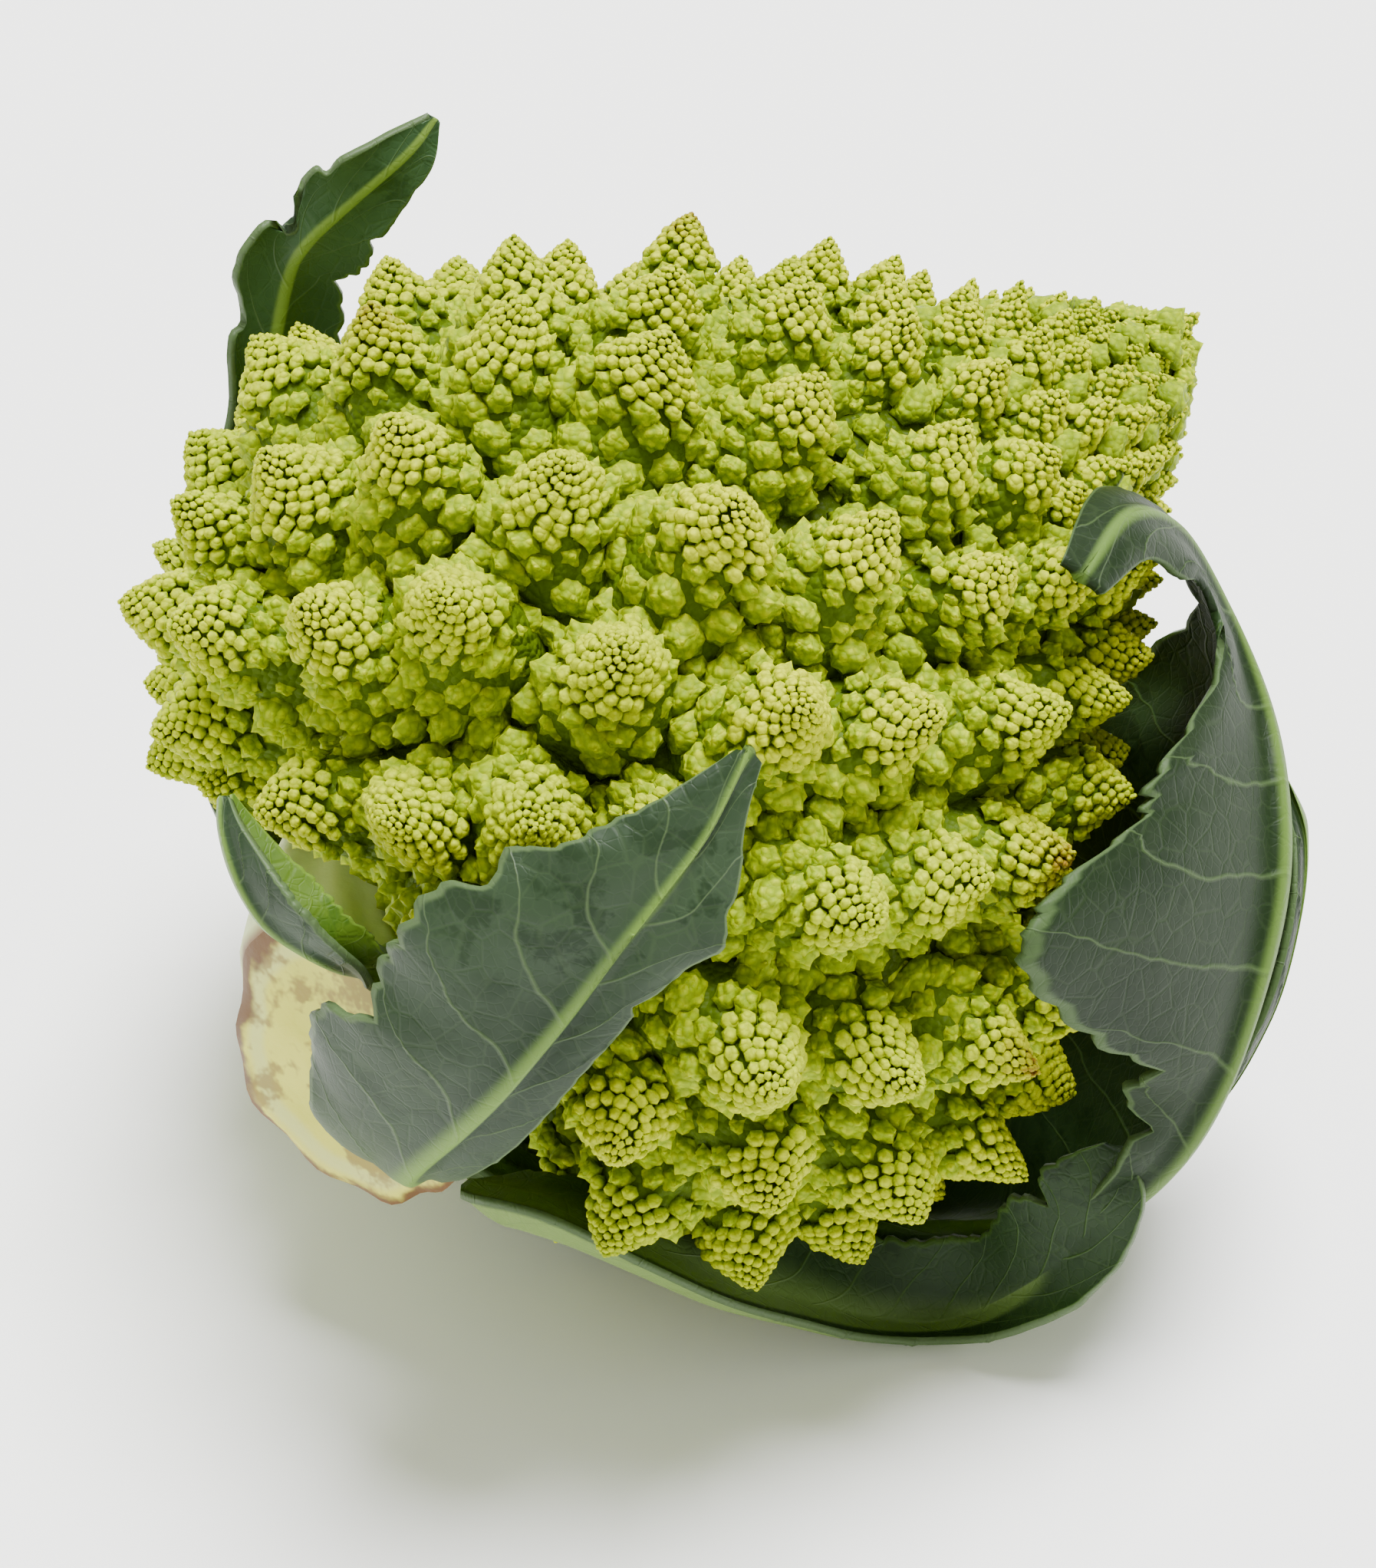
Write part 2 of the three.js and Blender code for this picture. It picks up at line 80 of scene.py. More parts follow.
# How far a floret may stray from the rule, in its turn, lean, reach and size.
TURN_STRAY = 0.14
LEAN_STRAY = 0.3
REACH_STRAY = 0.14
SIZE_STRAY = 0.2
# How far the florets keep from the stalk's cut, as a share of their size.
STALK_CLEARANCE = 0.35

# The right leaf presses the curd in: where, how deep, and over what angle.
PRESSED_SIDE = (64, -8, -16)
PRESSED_DEPTH = 12.0
PRESSED_ANGLE = 0.42

# The stalk, from inside the curd to the slanting cut face.
STALK_START = (-33, -26, 2)
STALK_CUT = (-41, -45, 22)
STALK_RADIUS = 20.5
CUT_FACING = (-0.58, -0.43, 0.69)

# Leaves. Each row is a station from the base to the tip: the rib, then one edge and the other,
# as right, up and near from the middle of the head.
LEAVES = {
    "leaf_under": dict(
        rib_width=(5, 2), rib_height=(4.5, 2), bulge=2, pale_edge=True,
        stations=[
            ((-26, -60, 14), (-29, -61, 19), (-22, -59, 9)),
            ((-15, -62, 22), (-16, -63, 27), (-12, -59, 14)),
            ((-3, -68, 16), (-3, -70, 21), (1, -60, 8)),
            ((8, -74, 8), (8, -76, 13), (11, -63, 0)),
            ((18, -78, -1), (18, -80, 4), (20, -67, -7)),
            ((27, -81, -8), (27, -83, -3), (28, -69, -10)),
            ((37, -82, -12), (37, -84, -7), (37, -70, -9)),
            ((45, -79, -7), (47, -82, -1), (43, -68, -5)),
            ((53, -72, 2), (58, -75, 7), (46, -63, 3)),
            ((58, -64, 10), (63, -64, 13), (50, -58, 8)),
            ((60, -56, 13), (61.5, -56, 14), (58, -55, 12)),
        ],
    ),
    "leaf_right": dict(
        rib_width=(5, 2), rib_height=(4.5, 0.8), bulge=3,
        stations=[
            ((-36, -50, -10), (-38, -51, -5), (-34, -48, -15)),
            ((-20, -63, -21), (-20, -65, -15), (-20, -60, -26)),
            ((-3, -68, -28), (-3, -70, -22), (-3, -64, -33)),
            ((14, -69, -28), (15, -72, -22), (13, -65, -33)),
            ((30, -69, -21), (31, -73, -17), (28, -65, -29)),
            ((44, -68, -9), (43, -72, -10), (41, -60, -23)),
            ((57, -64, 4), (53, -66, 4), (48, -54, -20)),
            ((65, -57, 12), (59, -57, 17), (50, -46, -24)),
            ((71, -47, 16), (59, -47, 25), (53, -34, -29)),
            ((76, -33, 18), (52, -40, 38), (54, -22, -31)),
            ((79, -20, 18), (42, -29, 57), (52, -12, -31)),
            ((79.5, -8, 15), (45, -20, 57), (52, -1, -26)),
            ((78, 3, 11), (56, -10, 44), (63, 9, -21)),
            ((73, 15, 12), (67, 5, 25), (68, 21, -2)),
            ((66, 25, 20), (66, 17, 27), (63, 28, 11)),
            ((58, 26, 34), (61, 21, 34), (55, 30, 29)),
            ((51, 18, 45), (54, 16, 45), (49, 20, 46)),
        ],
    ),
    "leaf_right_outer": dict(
        rib_width=(4.5, 1.5), rib_height=(4, 1), bulge=3,
        stations=[
            ((-38, -42, -20), (-41, -43, -15), (-35, -40, -25)),
            ((-20, -56, -30), (-21, -59, -26), (-20, -51, -34)),
            ((0, -62, -34), (0, -65, -31), (0, -57, -39)),
            ((20, -63, -34), (21, -66, -30), (19, -57, -40)),
            ((39, -62, -27), (40, -66, -22), (38, -54, -37)),
            ((56, -59, -13), (56, -62, -7), (56, -48, -30)),
            ((70, -52, 0), (69, -54, 6), (71, -38, -22)),
            ((78, -39, 8), (77, -41, 14), (78, -26, -22)),
            ((82, -26, 10), (81.5, -28, 15), (80, -16, -22)),
            ((83.5, -15, 8), (83, -17, 12), (81, -8, -14)),
            ((82, -7, 4), (82.5, -9, 6), (81, -5, 2)),
        ],
    ),
    "leaf_front": dict(
        rib_width=(6, 1.5), rib_height=(2.5, 1), bulge=3,
        stations=[
            ((-24, -52, 14), (-31, -53, 18), (-19, -52, 14)),
            ((-31, -56, 29), (-42, -51, 33), (-26, -56, 31)),
            ((-30, -54.5, 43), (-44, -43, 44), (-25, -56, 45)),
            ((-24, -49, 56), (-43, -35, 53), (-18, -51, 56)),
            ((-18, -43, 65), (-36, -31, 63), (-11, -43, 66)),
            ((-12, -36, 71), (-31, -23, 70), (-5, -36, 72)),
            ((-6, -28, 76), (-22, -16, 76), (2, -29, 76)),
            ((0, -20, 79), (-12, -14, 79), (8, -25, 78)),
            ((5, -13, 80), (-2, -10, 81), (9, -13, 80)),
            ((10, -3, 81), (8.5, -4, 81), (11, -5, 81)),
        ],
    ),
    "leaf_back": dict(
        rib_width=(4.5, 1), rib_height=(4, 0.8), bulge=3,
        stations=[
            ((-44, -28, -6), (-42, -31, -12), (-47, -25, 0)),
            ((-58, -16, -24), (-53, -20, -32), (-62, -12, -15)),
            ((-62, 2, -37), (-55, -2, -46), (-67, 7, -27)),
            ((-61, 22, -39), (-52, 17, -48), (-66, 27, -28)),
            ((-58, 39, -32), (-48, 36, -41), (-62, 44, -23)),
            ((-56, 51, -22), (-47, 50, -28), (-61, 55, -14)),
            ((-53, 62.5, -15), (-45, 61, -20), (-58.5, 65.5, -8.5)),
            ((-50, 67, -11), (-41.5, 65, -16), (-50, 75.5, -5.5)),
            ((-43.5, 72.7, -9), (-38, 70.5, -13), (-44.5, 77.8, -4)),
            ((-35.6, 79.4, -8), (-32.6, 77.5, -10), (-38.5, 81.5, -6)),
            ((-32, 84.2, -8), (-31.4, 83.6, -8.5), (-32.8, 84.3, -7.5)),
        ],
    ),
    "leaf_small": dict(
        rib_width=(2.5, 0.9), rib_height=(1.5, 0.6), bulge=0.8,
        stations=[
            ((-34, -29, 34), (-35, -31, 34), (-31, -28, 34)),
            ((-37, -30, 43), (-36, -33, 45), (-32, -29, 44)),
            ((-40, -29, 51), (-37, -30, 54), (-33.5, -28.5, 51)),
            ((-43.5, -27, 57), (-39.5, -26.8, 61.5), (-35.5, -26, 54.5)),
            ((-47, -24.5, 59.5), (-42.5, -23, 65.5), (-39, -22.5, 56)),
            ((-49.6, -21, 60), (-45.2, -19.6, 65.5), (-42.8, -18.8, 56.5)),
            ((-51.5, -17, 60), (-48, -16, 63.5), (-47, -15, 57)),
            ((-52.8, -12.5, 59), (-50.8, -12.2, 61), (-50.2, -11.5, 57)),
            ((-53, -9, 58), (-52.4, -9.2, 58.6), (-52.4, -8.8, 57.4)),
        ],
    ),
}


def seen(point):
    """A point given as right, up and near from the middle of the head."""
    right, up, near = point
    return CENTRE + VIEW_RIGHT * right + VIEW_UP * up + VIEW_NEAR * near


def unit(vectors):
    return vectors / np.maximum(np.linalg.norm(vectors, axis=-1, keepdims=True), 1e-9)


def press_in(points):
    """Points moved towards the middle where the right leaf presses the curd."""
    outward = unit(points - CENTRE)
    angle = np.arccos(np.clip(outward @ unit(seen(PRESSED_SIDE) - CENTRE), -1, 1))
    share = np.exp(-(angle / PRESSED_ANGLE) ** 2)
    return points - outward * (PRESSED_DEPTH * share)[..., None]


def smooth_line(points, places):
    """A smooth curve through the points, read at places from 0 at the first to 1 at the last."""
    points = np.asarray(points, float)
    padded = np.vstack([2 * points[0] - points[1], points, 2 * points[-1] - points[-2]])
    along = np.clip(np.asarray(places, float), 0, 1) * (len(points) - 1)
    first = np.minimum(along.astype(int), len(points) - 2)
    t = (along - first)[:, None]
    p0, p1, p2, p3 = (padded[first + k] for k in range(4))
    leave = 0.5 * (p2 - p0)
    arrive = 0.5 * (p3 - p1)
    return (
        (2 * p1 - 2 * p2 + leave + arrive) * t ** 3
        + (-3 * p1 + 3 * p2 - 2 * leave - arrive) * t ** 2
        + leave * t
        + p1
    )


def profile_line(pairs, steps):
    """A smooth line through pairs of distances, and how far along it each of its points is."""
    line = smooth_line([(first, second, 0) for first, second in pairs], steps)
    lengths = np.concatenate([[0], np.cumsum(np.linalg.norm(np.diff(line, axis=0), axis=1))])
    return line, lengths


drawn = 7


def draw():
    """Seeded draws between -0.5 and 0.5."""
    global drawn
    drawn = (drawn * 1664525 + 1013904223) % 4294967296
    return drawn / 4294967296 - 0.5


# Helpers for meshes and pieces.
def select_nothing():
    if bpy.context.object and bpy.context.object.mode != "OBJECT":
        bpy.ops.object.mode_set(mode="OBJECT")
    bpy.ops.object.select_all(action="DESELECT")


def vertices_of(mesh):
    places = np.empty(len(mesh.vertices) * 3, np.float32)
    mesh.vertices.foreach_get("co", places)
    return places.reshape(-1, 3).astype(float)


def write_vertices(mesh, places):
    mesh.vertices.foreach_set("co", np.asarray(places, np.float32).ravel())
    mesh.update()


def triangles_of(mesh):
    mesh.calc_loop_triangles()
    corners = np.empty(len(mesh.loop_triangles) * 3, np.int32)
    mesh.loop_triangles.foreach_get("vertices", corners)
    return corners.reshape(-1, 3)


def to_world(places):
    return (np.asarray(places) + SEAT) * MM


def set_marks(mesh, name, values):
    """A number for each vertex, which the materials read by its name."""
    layer = mesh.attributes.get(name) or mesh.attributes.new(name, "FLOAT", "POINT")
    layer.data.foreach_set("value", np.asarray(values, np.float32))


def finish_piece(piece, node):
    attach(piece, "root")
    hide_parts(node)


def new_piece(name, places, faces):
    """A smooth-shaded object from places, in millimetres, and triangles."""
    mesh = bpy.data.meshes.new(name)
    mesh.vertices.add(len(places))
    mesh.loops.add(len(faces) * 3)
    mesh.polygons.add(len(faces))
    mesh.vertices.foreach_set("co", to_world(places).astype(np.float32).ravel())
    mesh.loops.foreach_set("vertex_index", np.asarray(faces, np.int32).ravel())
    mesh.polygons.foreach_set("loop_start", np.arange(0, len(faces) * 3, 3, dtype=np.int32))
    mesh.update(calc_edges=True)
    mesh.validate()
    piece = bpy.data.objects.new(name, mesh)
    bpy.context.scene.collection.objects.link(piece)
    mesh.shade_smooth()
    return piece


# Node helpers for the materials.
def add_node(tree, kind, **settings):
    node = tree.nodes.new(kind)
    for name, value in settings.items():
        setattr(node, name, value)
    return node


def set_inputs(node, values):
    for name, value in values.items():
        node.inputs[name].default_value = value


def plug(tree, source, target):
    if isinstance(source, (int, float)):
        target.default_value = source
    else:
        tree.links.new(source, target)


def math_node(tree, operation, first, second=0.0, clamp=False):
    node = add_node(tree, "ShaderNodeMath", operation=operation, use_clamp=clamp)
    plug(tree, first, node.inputs[0])
    plug(tree, second, node.inputs[1])
    return node.outputs[0]


def times(tree, first, second, clamp=False):
    return math_node(tree, "MULTIPLY", first, second, clamp)


def plus(tree, first, second, clamp=False):
    return math_node(tree, "ADD", first, second, clamp)


def minus(tree, first, second, clamp=False):
    return math_node(tree, "SUBTRACT", first, second, clamp)


def mix_colours(tree, share, first, second):
    """The first colour where share is 0 and the second where it is 1."""
    node = add_node(tree, "ShaderNodeMix", data_type="RGBA")
    plug(tree, share, node.inputs["Factor"])
    for colour, name in ((first, "A"), (second, "B")):
        socket = [s for s in node.inputs if s.name == name and s.type == "RGBA"][0]
        if isinstance(colour, tuple):
            socket.default_value = (*colour, 1.0)
        else:
            tree.links.new(colour, socket)
    return [s for s in node.outputs if s.type == "RGBA"][0]


def step_between(tree, value, low, high):
    """0 below low, 1 above high, smooth between; low above high turns it round."""
    node = add_node(tree, "ShaderNodeMapRange", interpolation_type="SMOOTHSTEP")
    plug(tree, value, node.inputs["Value"])
    set_inputs(node, {"From Min": low, "From Max": high})
    return node.outputs["Result"]


def object_places(tree):
    return add_node(tree, "ShaderNodeTexCoord").outputs["Object"]


def noise_of(tree, scale, detail=3.0, roughness=0.55, stretch=None):
    """Noise around 0.5, with its scale per metre."""
    coordinates = object_places(tree)
    if stretch:
        mapping = add_node(tree, "ShaderNodeMapping")
        mapping.inputs["Scale"].default_value = stretch
        tree.links.new(coordinates, mapping.inputs["Vector"])
        coordinates = mapping.outputs["Vector"]
    node = add_node(tree, "ShaderNodeTexNoise")
    tree.links.new(coordinates, node.inputs["Vector"])
    set_inputs(node, {"Scale": scale, "Detail": detail, "Roughness": roughness})
    return node.outputs["Fac"]


def marks_of(tree, name):
    return add_node(tree, "ShaderNodeAttribute", attribute_name=name).outputs["Fac"]


def new_material(name):
    material = bpy.data.materials.new(name)
    material.use_nodes = True
    return material, material.node_tree, material.node_tree.nodes["Principled BSDF"]


def add_bump(tree, shader, height, strength, distance):
    bump = add_node(tree, "ShaderNodeBump")
    set_inputs(bump, {"Strength": strength, "Distance": distance})
    tree.links.new(height, bump.inputs["Height"])
    tree.links.new(bump.outputs["Normal"], shader.inputs["Normal"])


# The curd's florets.
PROFILE_STEPS = 201
SLOPE_STEP = 1e-4


def place_florets():
    """Every floret's tip, direction and size, from the apex to the stalk."""
    steps = np.linspace(0, 1, PROFILE_STEPS)
    lengths = profile_line(TIP_PROFILE, steps)[1]
    florets = []
    travelled = FIRST_FLORET_AT
    turn_count = 0
    while travelled < lengths[-1]:
        place = np.interp(travelled, lengths, steps)
        places = [place, min(place + SLOPE_STEP, 1), max(place - SLOPE_STEP, 0)]
        at, ahead, behind = profile_line(TIP_PROFILE, places)[0]
        slope = unit(ahead - behind)
        size = min(SIZE_GROWTH * travelled, LARGEST_FLORET)
        angle = FIRST_TURN - GOLDEN_ANGLE * turn_count + draw() * TURN_STRAY
        radial = LOW_SIDE * math.cos(angle) + NEAR_SIDE * math.sin(angle)
        direction = radial * slope[0] + AXIS * (slope[1] + APEX_LEAN)
        direction = direction + LOW_SIDE * draw() * LEAN_STRAY
        direction = unit(direction + NEAR_SIDE * draw() * LEAN_STRAY)
        tip = APEX - AXIS * at[0] + radial * at[1] + direction * draw() * REACH_STRAY * size
        tip = press_in(tip)
        florets.append((tip, direction, size * (1 + draw() * SIZE_STRAY)))
        travelled += PACKING * size * size / (2 * math.pi * at[1])
        turn_count += 1
    stalk_middle = seen(STALK_CUT)
    return [
        floret for floret in florets
        if np.linalg.norm(floret[0] - stalk_middle) > STALK_RADIUS + STALK_CLEARANCE * floret[2]
    ]


# One floret's own shape, for a size of 1: depth below the tip, and radius.
FLORET_SHAPE = [
    (0, 0), (0.05, 0.07), (0.2, 0.185), (0.4, 0.305),
    (0.6, 0.4), (0.8, 0.475), (1.0, 0.53), (1.3, 0.58),
]
FLORET_DEPTH = 1.3
# A floret's buds: beads at its tip, then small knobs and large ones, from these shares of its size down.
# Beads have one size in millimetres at the tip, and grow down the floret by a share of what they travel.
BEAD_SIZE = 0.85
BEAD_GROWTH = 0.135
SMALL_KNOBS_FROM = 0.42
SMALL_KNOB = 0.15
LARGE_KNOBS_FROM = 0.56
LARGE_KNOB = 0.23
BUD_PACKING = 0.88
BUD_HEIGHT = 0.85
# The first bead sits this far from the tip, as a share of a bead.
FIRST_BEAD = 0.8
# A bud is enlarged a little, so that it sinks into the buds beside it.
BUD_OVERLAP = 1.15
# How far a bud leans towards its floret's tip, and how far it may stray from the rule in its turn
# round the floret, its facing, its size and, on the lower slope, its reach.
BUD_LEAN = 0.35
BUD_TURN_STRAY = 0.05
BUD_FACING_STRAY = 0.07
BUD_SIZE_STRAY = 0.06
BUD_REACH_STRAY = 0.14
LOWER_SLOPE = 0.5
# A floret smaller than this is one knob, enlarged by this much.
SMALLEST_FLORET = 3.2
LONE_KNOB = 1.3
# How much of a floret's tone is chance, and the rest its nearness to the apex.
TONE_CHANCE = 0.4
# How far down a floret the brown reaches, and from where its buds count as low, which darkens them with
# painted shade.
BROWN_REACH = 0.35
LOW_SHADE_FROM = 0.25
SHAPE_POINTS = 161
LEAST_RADIUS = 0.02


def shape_steps(shape, first, packing, last, size_at):
    """Places down a shape where buds sit: travel, depth, radius, slope and bud size."""
    line, lengths = profile_line(shape, np.linspace(0, 1, SHAPE_POINTS))
    slopes = unit(np.gradient(line, axis=0))
    rows = []
    travelled = first
    while travelled < min(lengths[-1], last):
        depth, radius = (np.interp(travelled, lengths, line[:, k]) for k in (0, 1))
        down, out = (np.interp(travelled, lengths, slopes[:, k]) for k in (0, 1))
        size = size_at(travelled)
        rows.append((travelled, depth, radius, down, out, size))
        travelled += packing * size * size / (2 * math.pi * max(radius, LEAST_RADIUS))
    return np.array(rows)


def bud_size(travelled, floret_size):
    """A bud's share of its floret's size, so far down the floret."""
    if travelled > LARGE_KNOBS_FROM:
        return LARGE_KNOB
    bead = BEAD_SIZE / floret_size + BEAD_GROWTH * travelled
    return max(bead, SMALL_KNOB) if travelled > SMALL_KNOBS_FROM else bead


# Buds are modelled once, at a size of 1 with the tip at height BUD_HEIGHT, and copied.
BUD_SHAPE = [(0, 0), (0.05, 0.1), (0.18, 0.26), (0.36, 0.39), (0.56, 0.47), (0.8, 0.48)]
BEAD_MIDDLE = 0.38
BEAD_HALF_HEIGHT = 0.45
BEAD_TAPER = 0.94
BEAD_TAPER_FROM = 0.2
BEAD_RISE_FROM = 0.4
# A knob's bumps: their packing, where the first sits, and how far bumps and furrows leave the dome,
# all as parts of a bump's size. Bumps face away from the knob's heart.
BUMP_PACKING = 0.95
FIRST_BUMP = 0.9
FURROW = -0.07
BUMP = 0.05
KNOB_HEART = 0.25
KNOB_FOOT = -0.1
# How high a furrow and the knob's foot rise in the colours, where a bump's top is 1; lower rises are painted
# shade.
FURROW_SHADE_RISE = 0.45
FOOT_SHADE_HEIGHT = 0.5


def model_bead(segments, rings):
    """A smooth pointed bead, whose rises paint shade towards its foot."""
    select_nothing()
    bpy.ops.mesh.primitive_uv_sphere_add(segments=segments, ring_count=rings, radius=0.5)
    bead = bpy.context.object
    places = vertices_of(bead.data)
    heights = places[:, 2] * 2
    places[:, 2] = BEAD_MIDDLE + BEAD_HALF_HEIGHT * heights
    places[:, :2] *= np.where(heights > BEAD_TAPER_FROM, BEAD_TAPER, 1.0)[:, None]
    faces = triangles_of(bead.data)
    # Painted shade: the bead's colour rise falls from its top to 0 towards its foot.
    rises = np.clip(heights + BEAD_RISE_FROM, 0, 1)
    bpy.data.objects.remove(bead)
    return places, faces, rises


def model_knob(name, bump_size, cuts):
    """A pointed dome whose bumps wind round it, with furrows between them if it is cut finer, and rises that
    paint shade in the furrows and towards its foot.
    """
    rows = shape_steps(
        BUD_SHAPE, bump_size * FIRST_BUMP, BUMP_PACKING, math.inf, lambda travelled: bump_size)
    angles = GOLDEN_ANGLE * np.arange(len(rows))
    tips = np.stack([
        rows[:, 2] * np.cos(angles), rows[:, 2] * np.sin(angles), BUD_HEIGHT - rows[:, 1],
    ], axis=1)
    tips = np.vstack([[0, 0, BUD_HEIGHT], tips, [0, 0, KNOB_FOOT]])
    mesh = bpy.data.meshes.new(name)
    mesh.from_pydata(tips.tolist(), [], [])
    knob = bpy.data.objects.new(name, mesh)
    bpy.context.scene.collection.objects.link(knob)
    select_nothing()
    bpy.context.view_layer.objects.active = knob
    knob.select_set(True)
    bpy.ops.object.mode_set(mode="EDIT")
    bpy.ops.mesh.select_all(action="SELECT")
    bpy.ops.mesh.convex_hull()
    bpy.ops.mesh.select_all(action="SELECT")
    bpy.ops.mesh.quads_convert_to_tris()
    bpy.ops.object.mode_set(mode="OBJECT")
    bump_count = len(mesh.vertices)
    if cuts:
        bpy.ops.object.mode_set(mode="EDIT")
        bpy.ops.mesh.select_all(action="SELECT")
        bpy.ops.mesh.subdivide(number_cuts=cuts)
        bpy.ops.object.mode_set(mode="OBJECT")
    places = vertices_of(mesh)
    faces = triangles_of(mesh)
    outward = unit(places - np.array([0, 0, KNOB_HEART]))
    between = np.arange(len(places)) >= bump_count
    lift = np.where(between, FURROW, BUMP) if cuts else np.full(len(places), BUMP)
    places = places + outward * (lift * bump_size)[:, None]
    # Painted shade: the furrows and the knob's foot get lower rises, so darker colours.
    rises = np.where(between, FURROW_SHADE_RISE, 1.0) * np.clip(places[:, 2] / FOOT_SHADE_HEIGHT, 0, 1)
    bpy.data.objects.remove(knob)
    return places, faces, rises


def frames_for(directions, turns):
    """Two directions square to each given one, turned about it."""
    hints = np.where(np.abs(directions[:, 2:3]) < 0.9, [[0.0, 0.0, 1.0]], [[1.0, 0.0, 0.0]])
    across = unit(np.cross(hints, directions))
    along = np.cross(directions, across)
    cos, sin = np.cos(turns)[:, None], np.sin(turns)[:, None]
    return across * cos + along * sin, along * cos - across * sin


def copy_buds(bud, roots, directions, sizes, turns):
    """Copies of a bud, as places, faces and rises."""
    places, faces, rises = bud
    across, along = frames_for(directions, turns)
    copies = (
        roots[:, None, :]
        + sizes[:, None, None] * (
            places[None, :, 0, None] * across[:, None, :]
            + places[None, :, 1, None] * along[:, None, :]
            + places[None, :, 2, None] * directions[:, None, :]
        )
    )
    shifts = np.arange(len(roots))[:, None, None] * len(places)
    return copies.reshape(-1, 3), (faces[None] + shifts).reshape(-1, 3), np.tile(rises, len(roots))


# A bud is left out where it lies this deep inside a neighbouring floret, below its tip and beside it.
NEIGHBOUR_REACH = 1.3
BURIED_BELOW = 0.1
BURIED_BESIDE = 0.06


def shape_radius(depths):
    shape = np.array(FLORET_SHAPE)
    return np.interp(depths, shape[:, 0], shape[:, 1])


def depth_and_aside(offsets, directions):
    """How far below a floret's tip, and how far from its axis, each offset from the tip lies."""
    depth = -np.sum(offsets * directions, axis=-1)
    return depth, np.linalg.norm(offsets + depth[..., None] * directions, axis=-1)


def buried(points, own, tips, directions, sizes):
    """Which points lie well inside a neighbouring floret."""
    inside = np.zeros(len(points), bool)
    near = np.linalg.norm(tips - tips[own], axis=1) < NEIGHBOUR_REACH * (sizes + sizes[own])
    near[own] = False
    for other in np.flatnonzero(near):
        depth, aside = depth_and_aside((points - tips[other]) / sizes[other], directions[other])
        inside |= (depth > BURIED_BELOW) & (aside < shape_radius(depth) - BURIED_BESIDE)
    return inside


# How far buds keep from a leaf's middle surface, and how near in direction a leaf counts as over a bud.
LEAF_CLEARANCE = 1.6
LEAF_NEARNESS = 0.035


class LeafGuard:
    """Keeps buds under the leaves that lie against them."""

    def __init__(self, sheets):
        points = np.concatenate([sheet.reshape(-1, 3) for sheet in sheets]) - CENTRE
        self.reach = np.linalg.norm(points, axis=1)
        self.tree = kdtree.KDTree(len(points))
        for index, direction in enumerate(unit(points)):
            self.tree.insert(direction, index)
        self.tree.balance()

    def limit(self, point):
        """The furthest a point may stand from the middle of the head in its direction."""
        offset = point - CENTRE
        found = self.tree.find(offset / np.linalg.norm(offset))
        return self.reach[found[1]] - LEAF_CLEARANCE if found[2] < LEAF_NEARNESS else math.inf

    def kept_under(self, point):
        reach = np.linalg.norm(point - CENTRE)
        most = self.limit(point)
        return point if reach <= most else CENTRE + (point - CENTRE) * most / reach


CURD_SEED = 11
# The curd's pieces, from the apex to the stalk.
PIECE_NAMES = ["point", "shoulder", "crown", "middle", "girth", "lower", "base"]
# Florets with browned tips: right and up from the middle of the head, and how near a tip has to be.
BROWNED = [(-44.8, 46.7), (2.6, 65.7), (16.3, -15.8), (46.1, -40.9), (45.7, -15.0)]
BROWNED_WITHIN = 11.0
# How far a floret faces the viewer, from -1 to 1, to be browned, and to have finer buds.
NEAR_SIDE_FROM = 0.1
FAR_SIDE = -0.25
# From which size on each kind of bud is used.
SMALL_BEAD_UPTO = 1.4
SMALL_KNOB_AT = 2.5
LARGE_KNOB_AT = 4.4
APEX_FLORET = 4.8
# A small floret that hangs from a broken branch at the left.
LONE_TIP = (-62, -8, 20)
LONE_ROOT = (-48, -10, 14)
LONE_SIZE = 9.5
# Knobs that close the valleys between the florets: their size, spacing and strays, and how much
# of a floret, beside its axis and below its tip, covers the flesh.
FILLER_SIZE = 6.0
FILLER_SPACING = 4.5
FILLER_FACING_STRAY = 0.15
FILLER_SIZE_STRAY = 0.12
FILLER_TONE = 0.4
COVERED_ASIDE = 0.4
COVERED_BELOW = 1.25


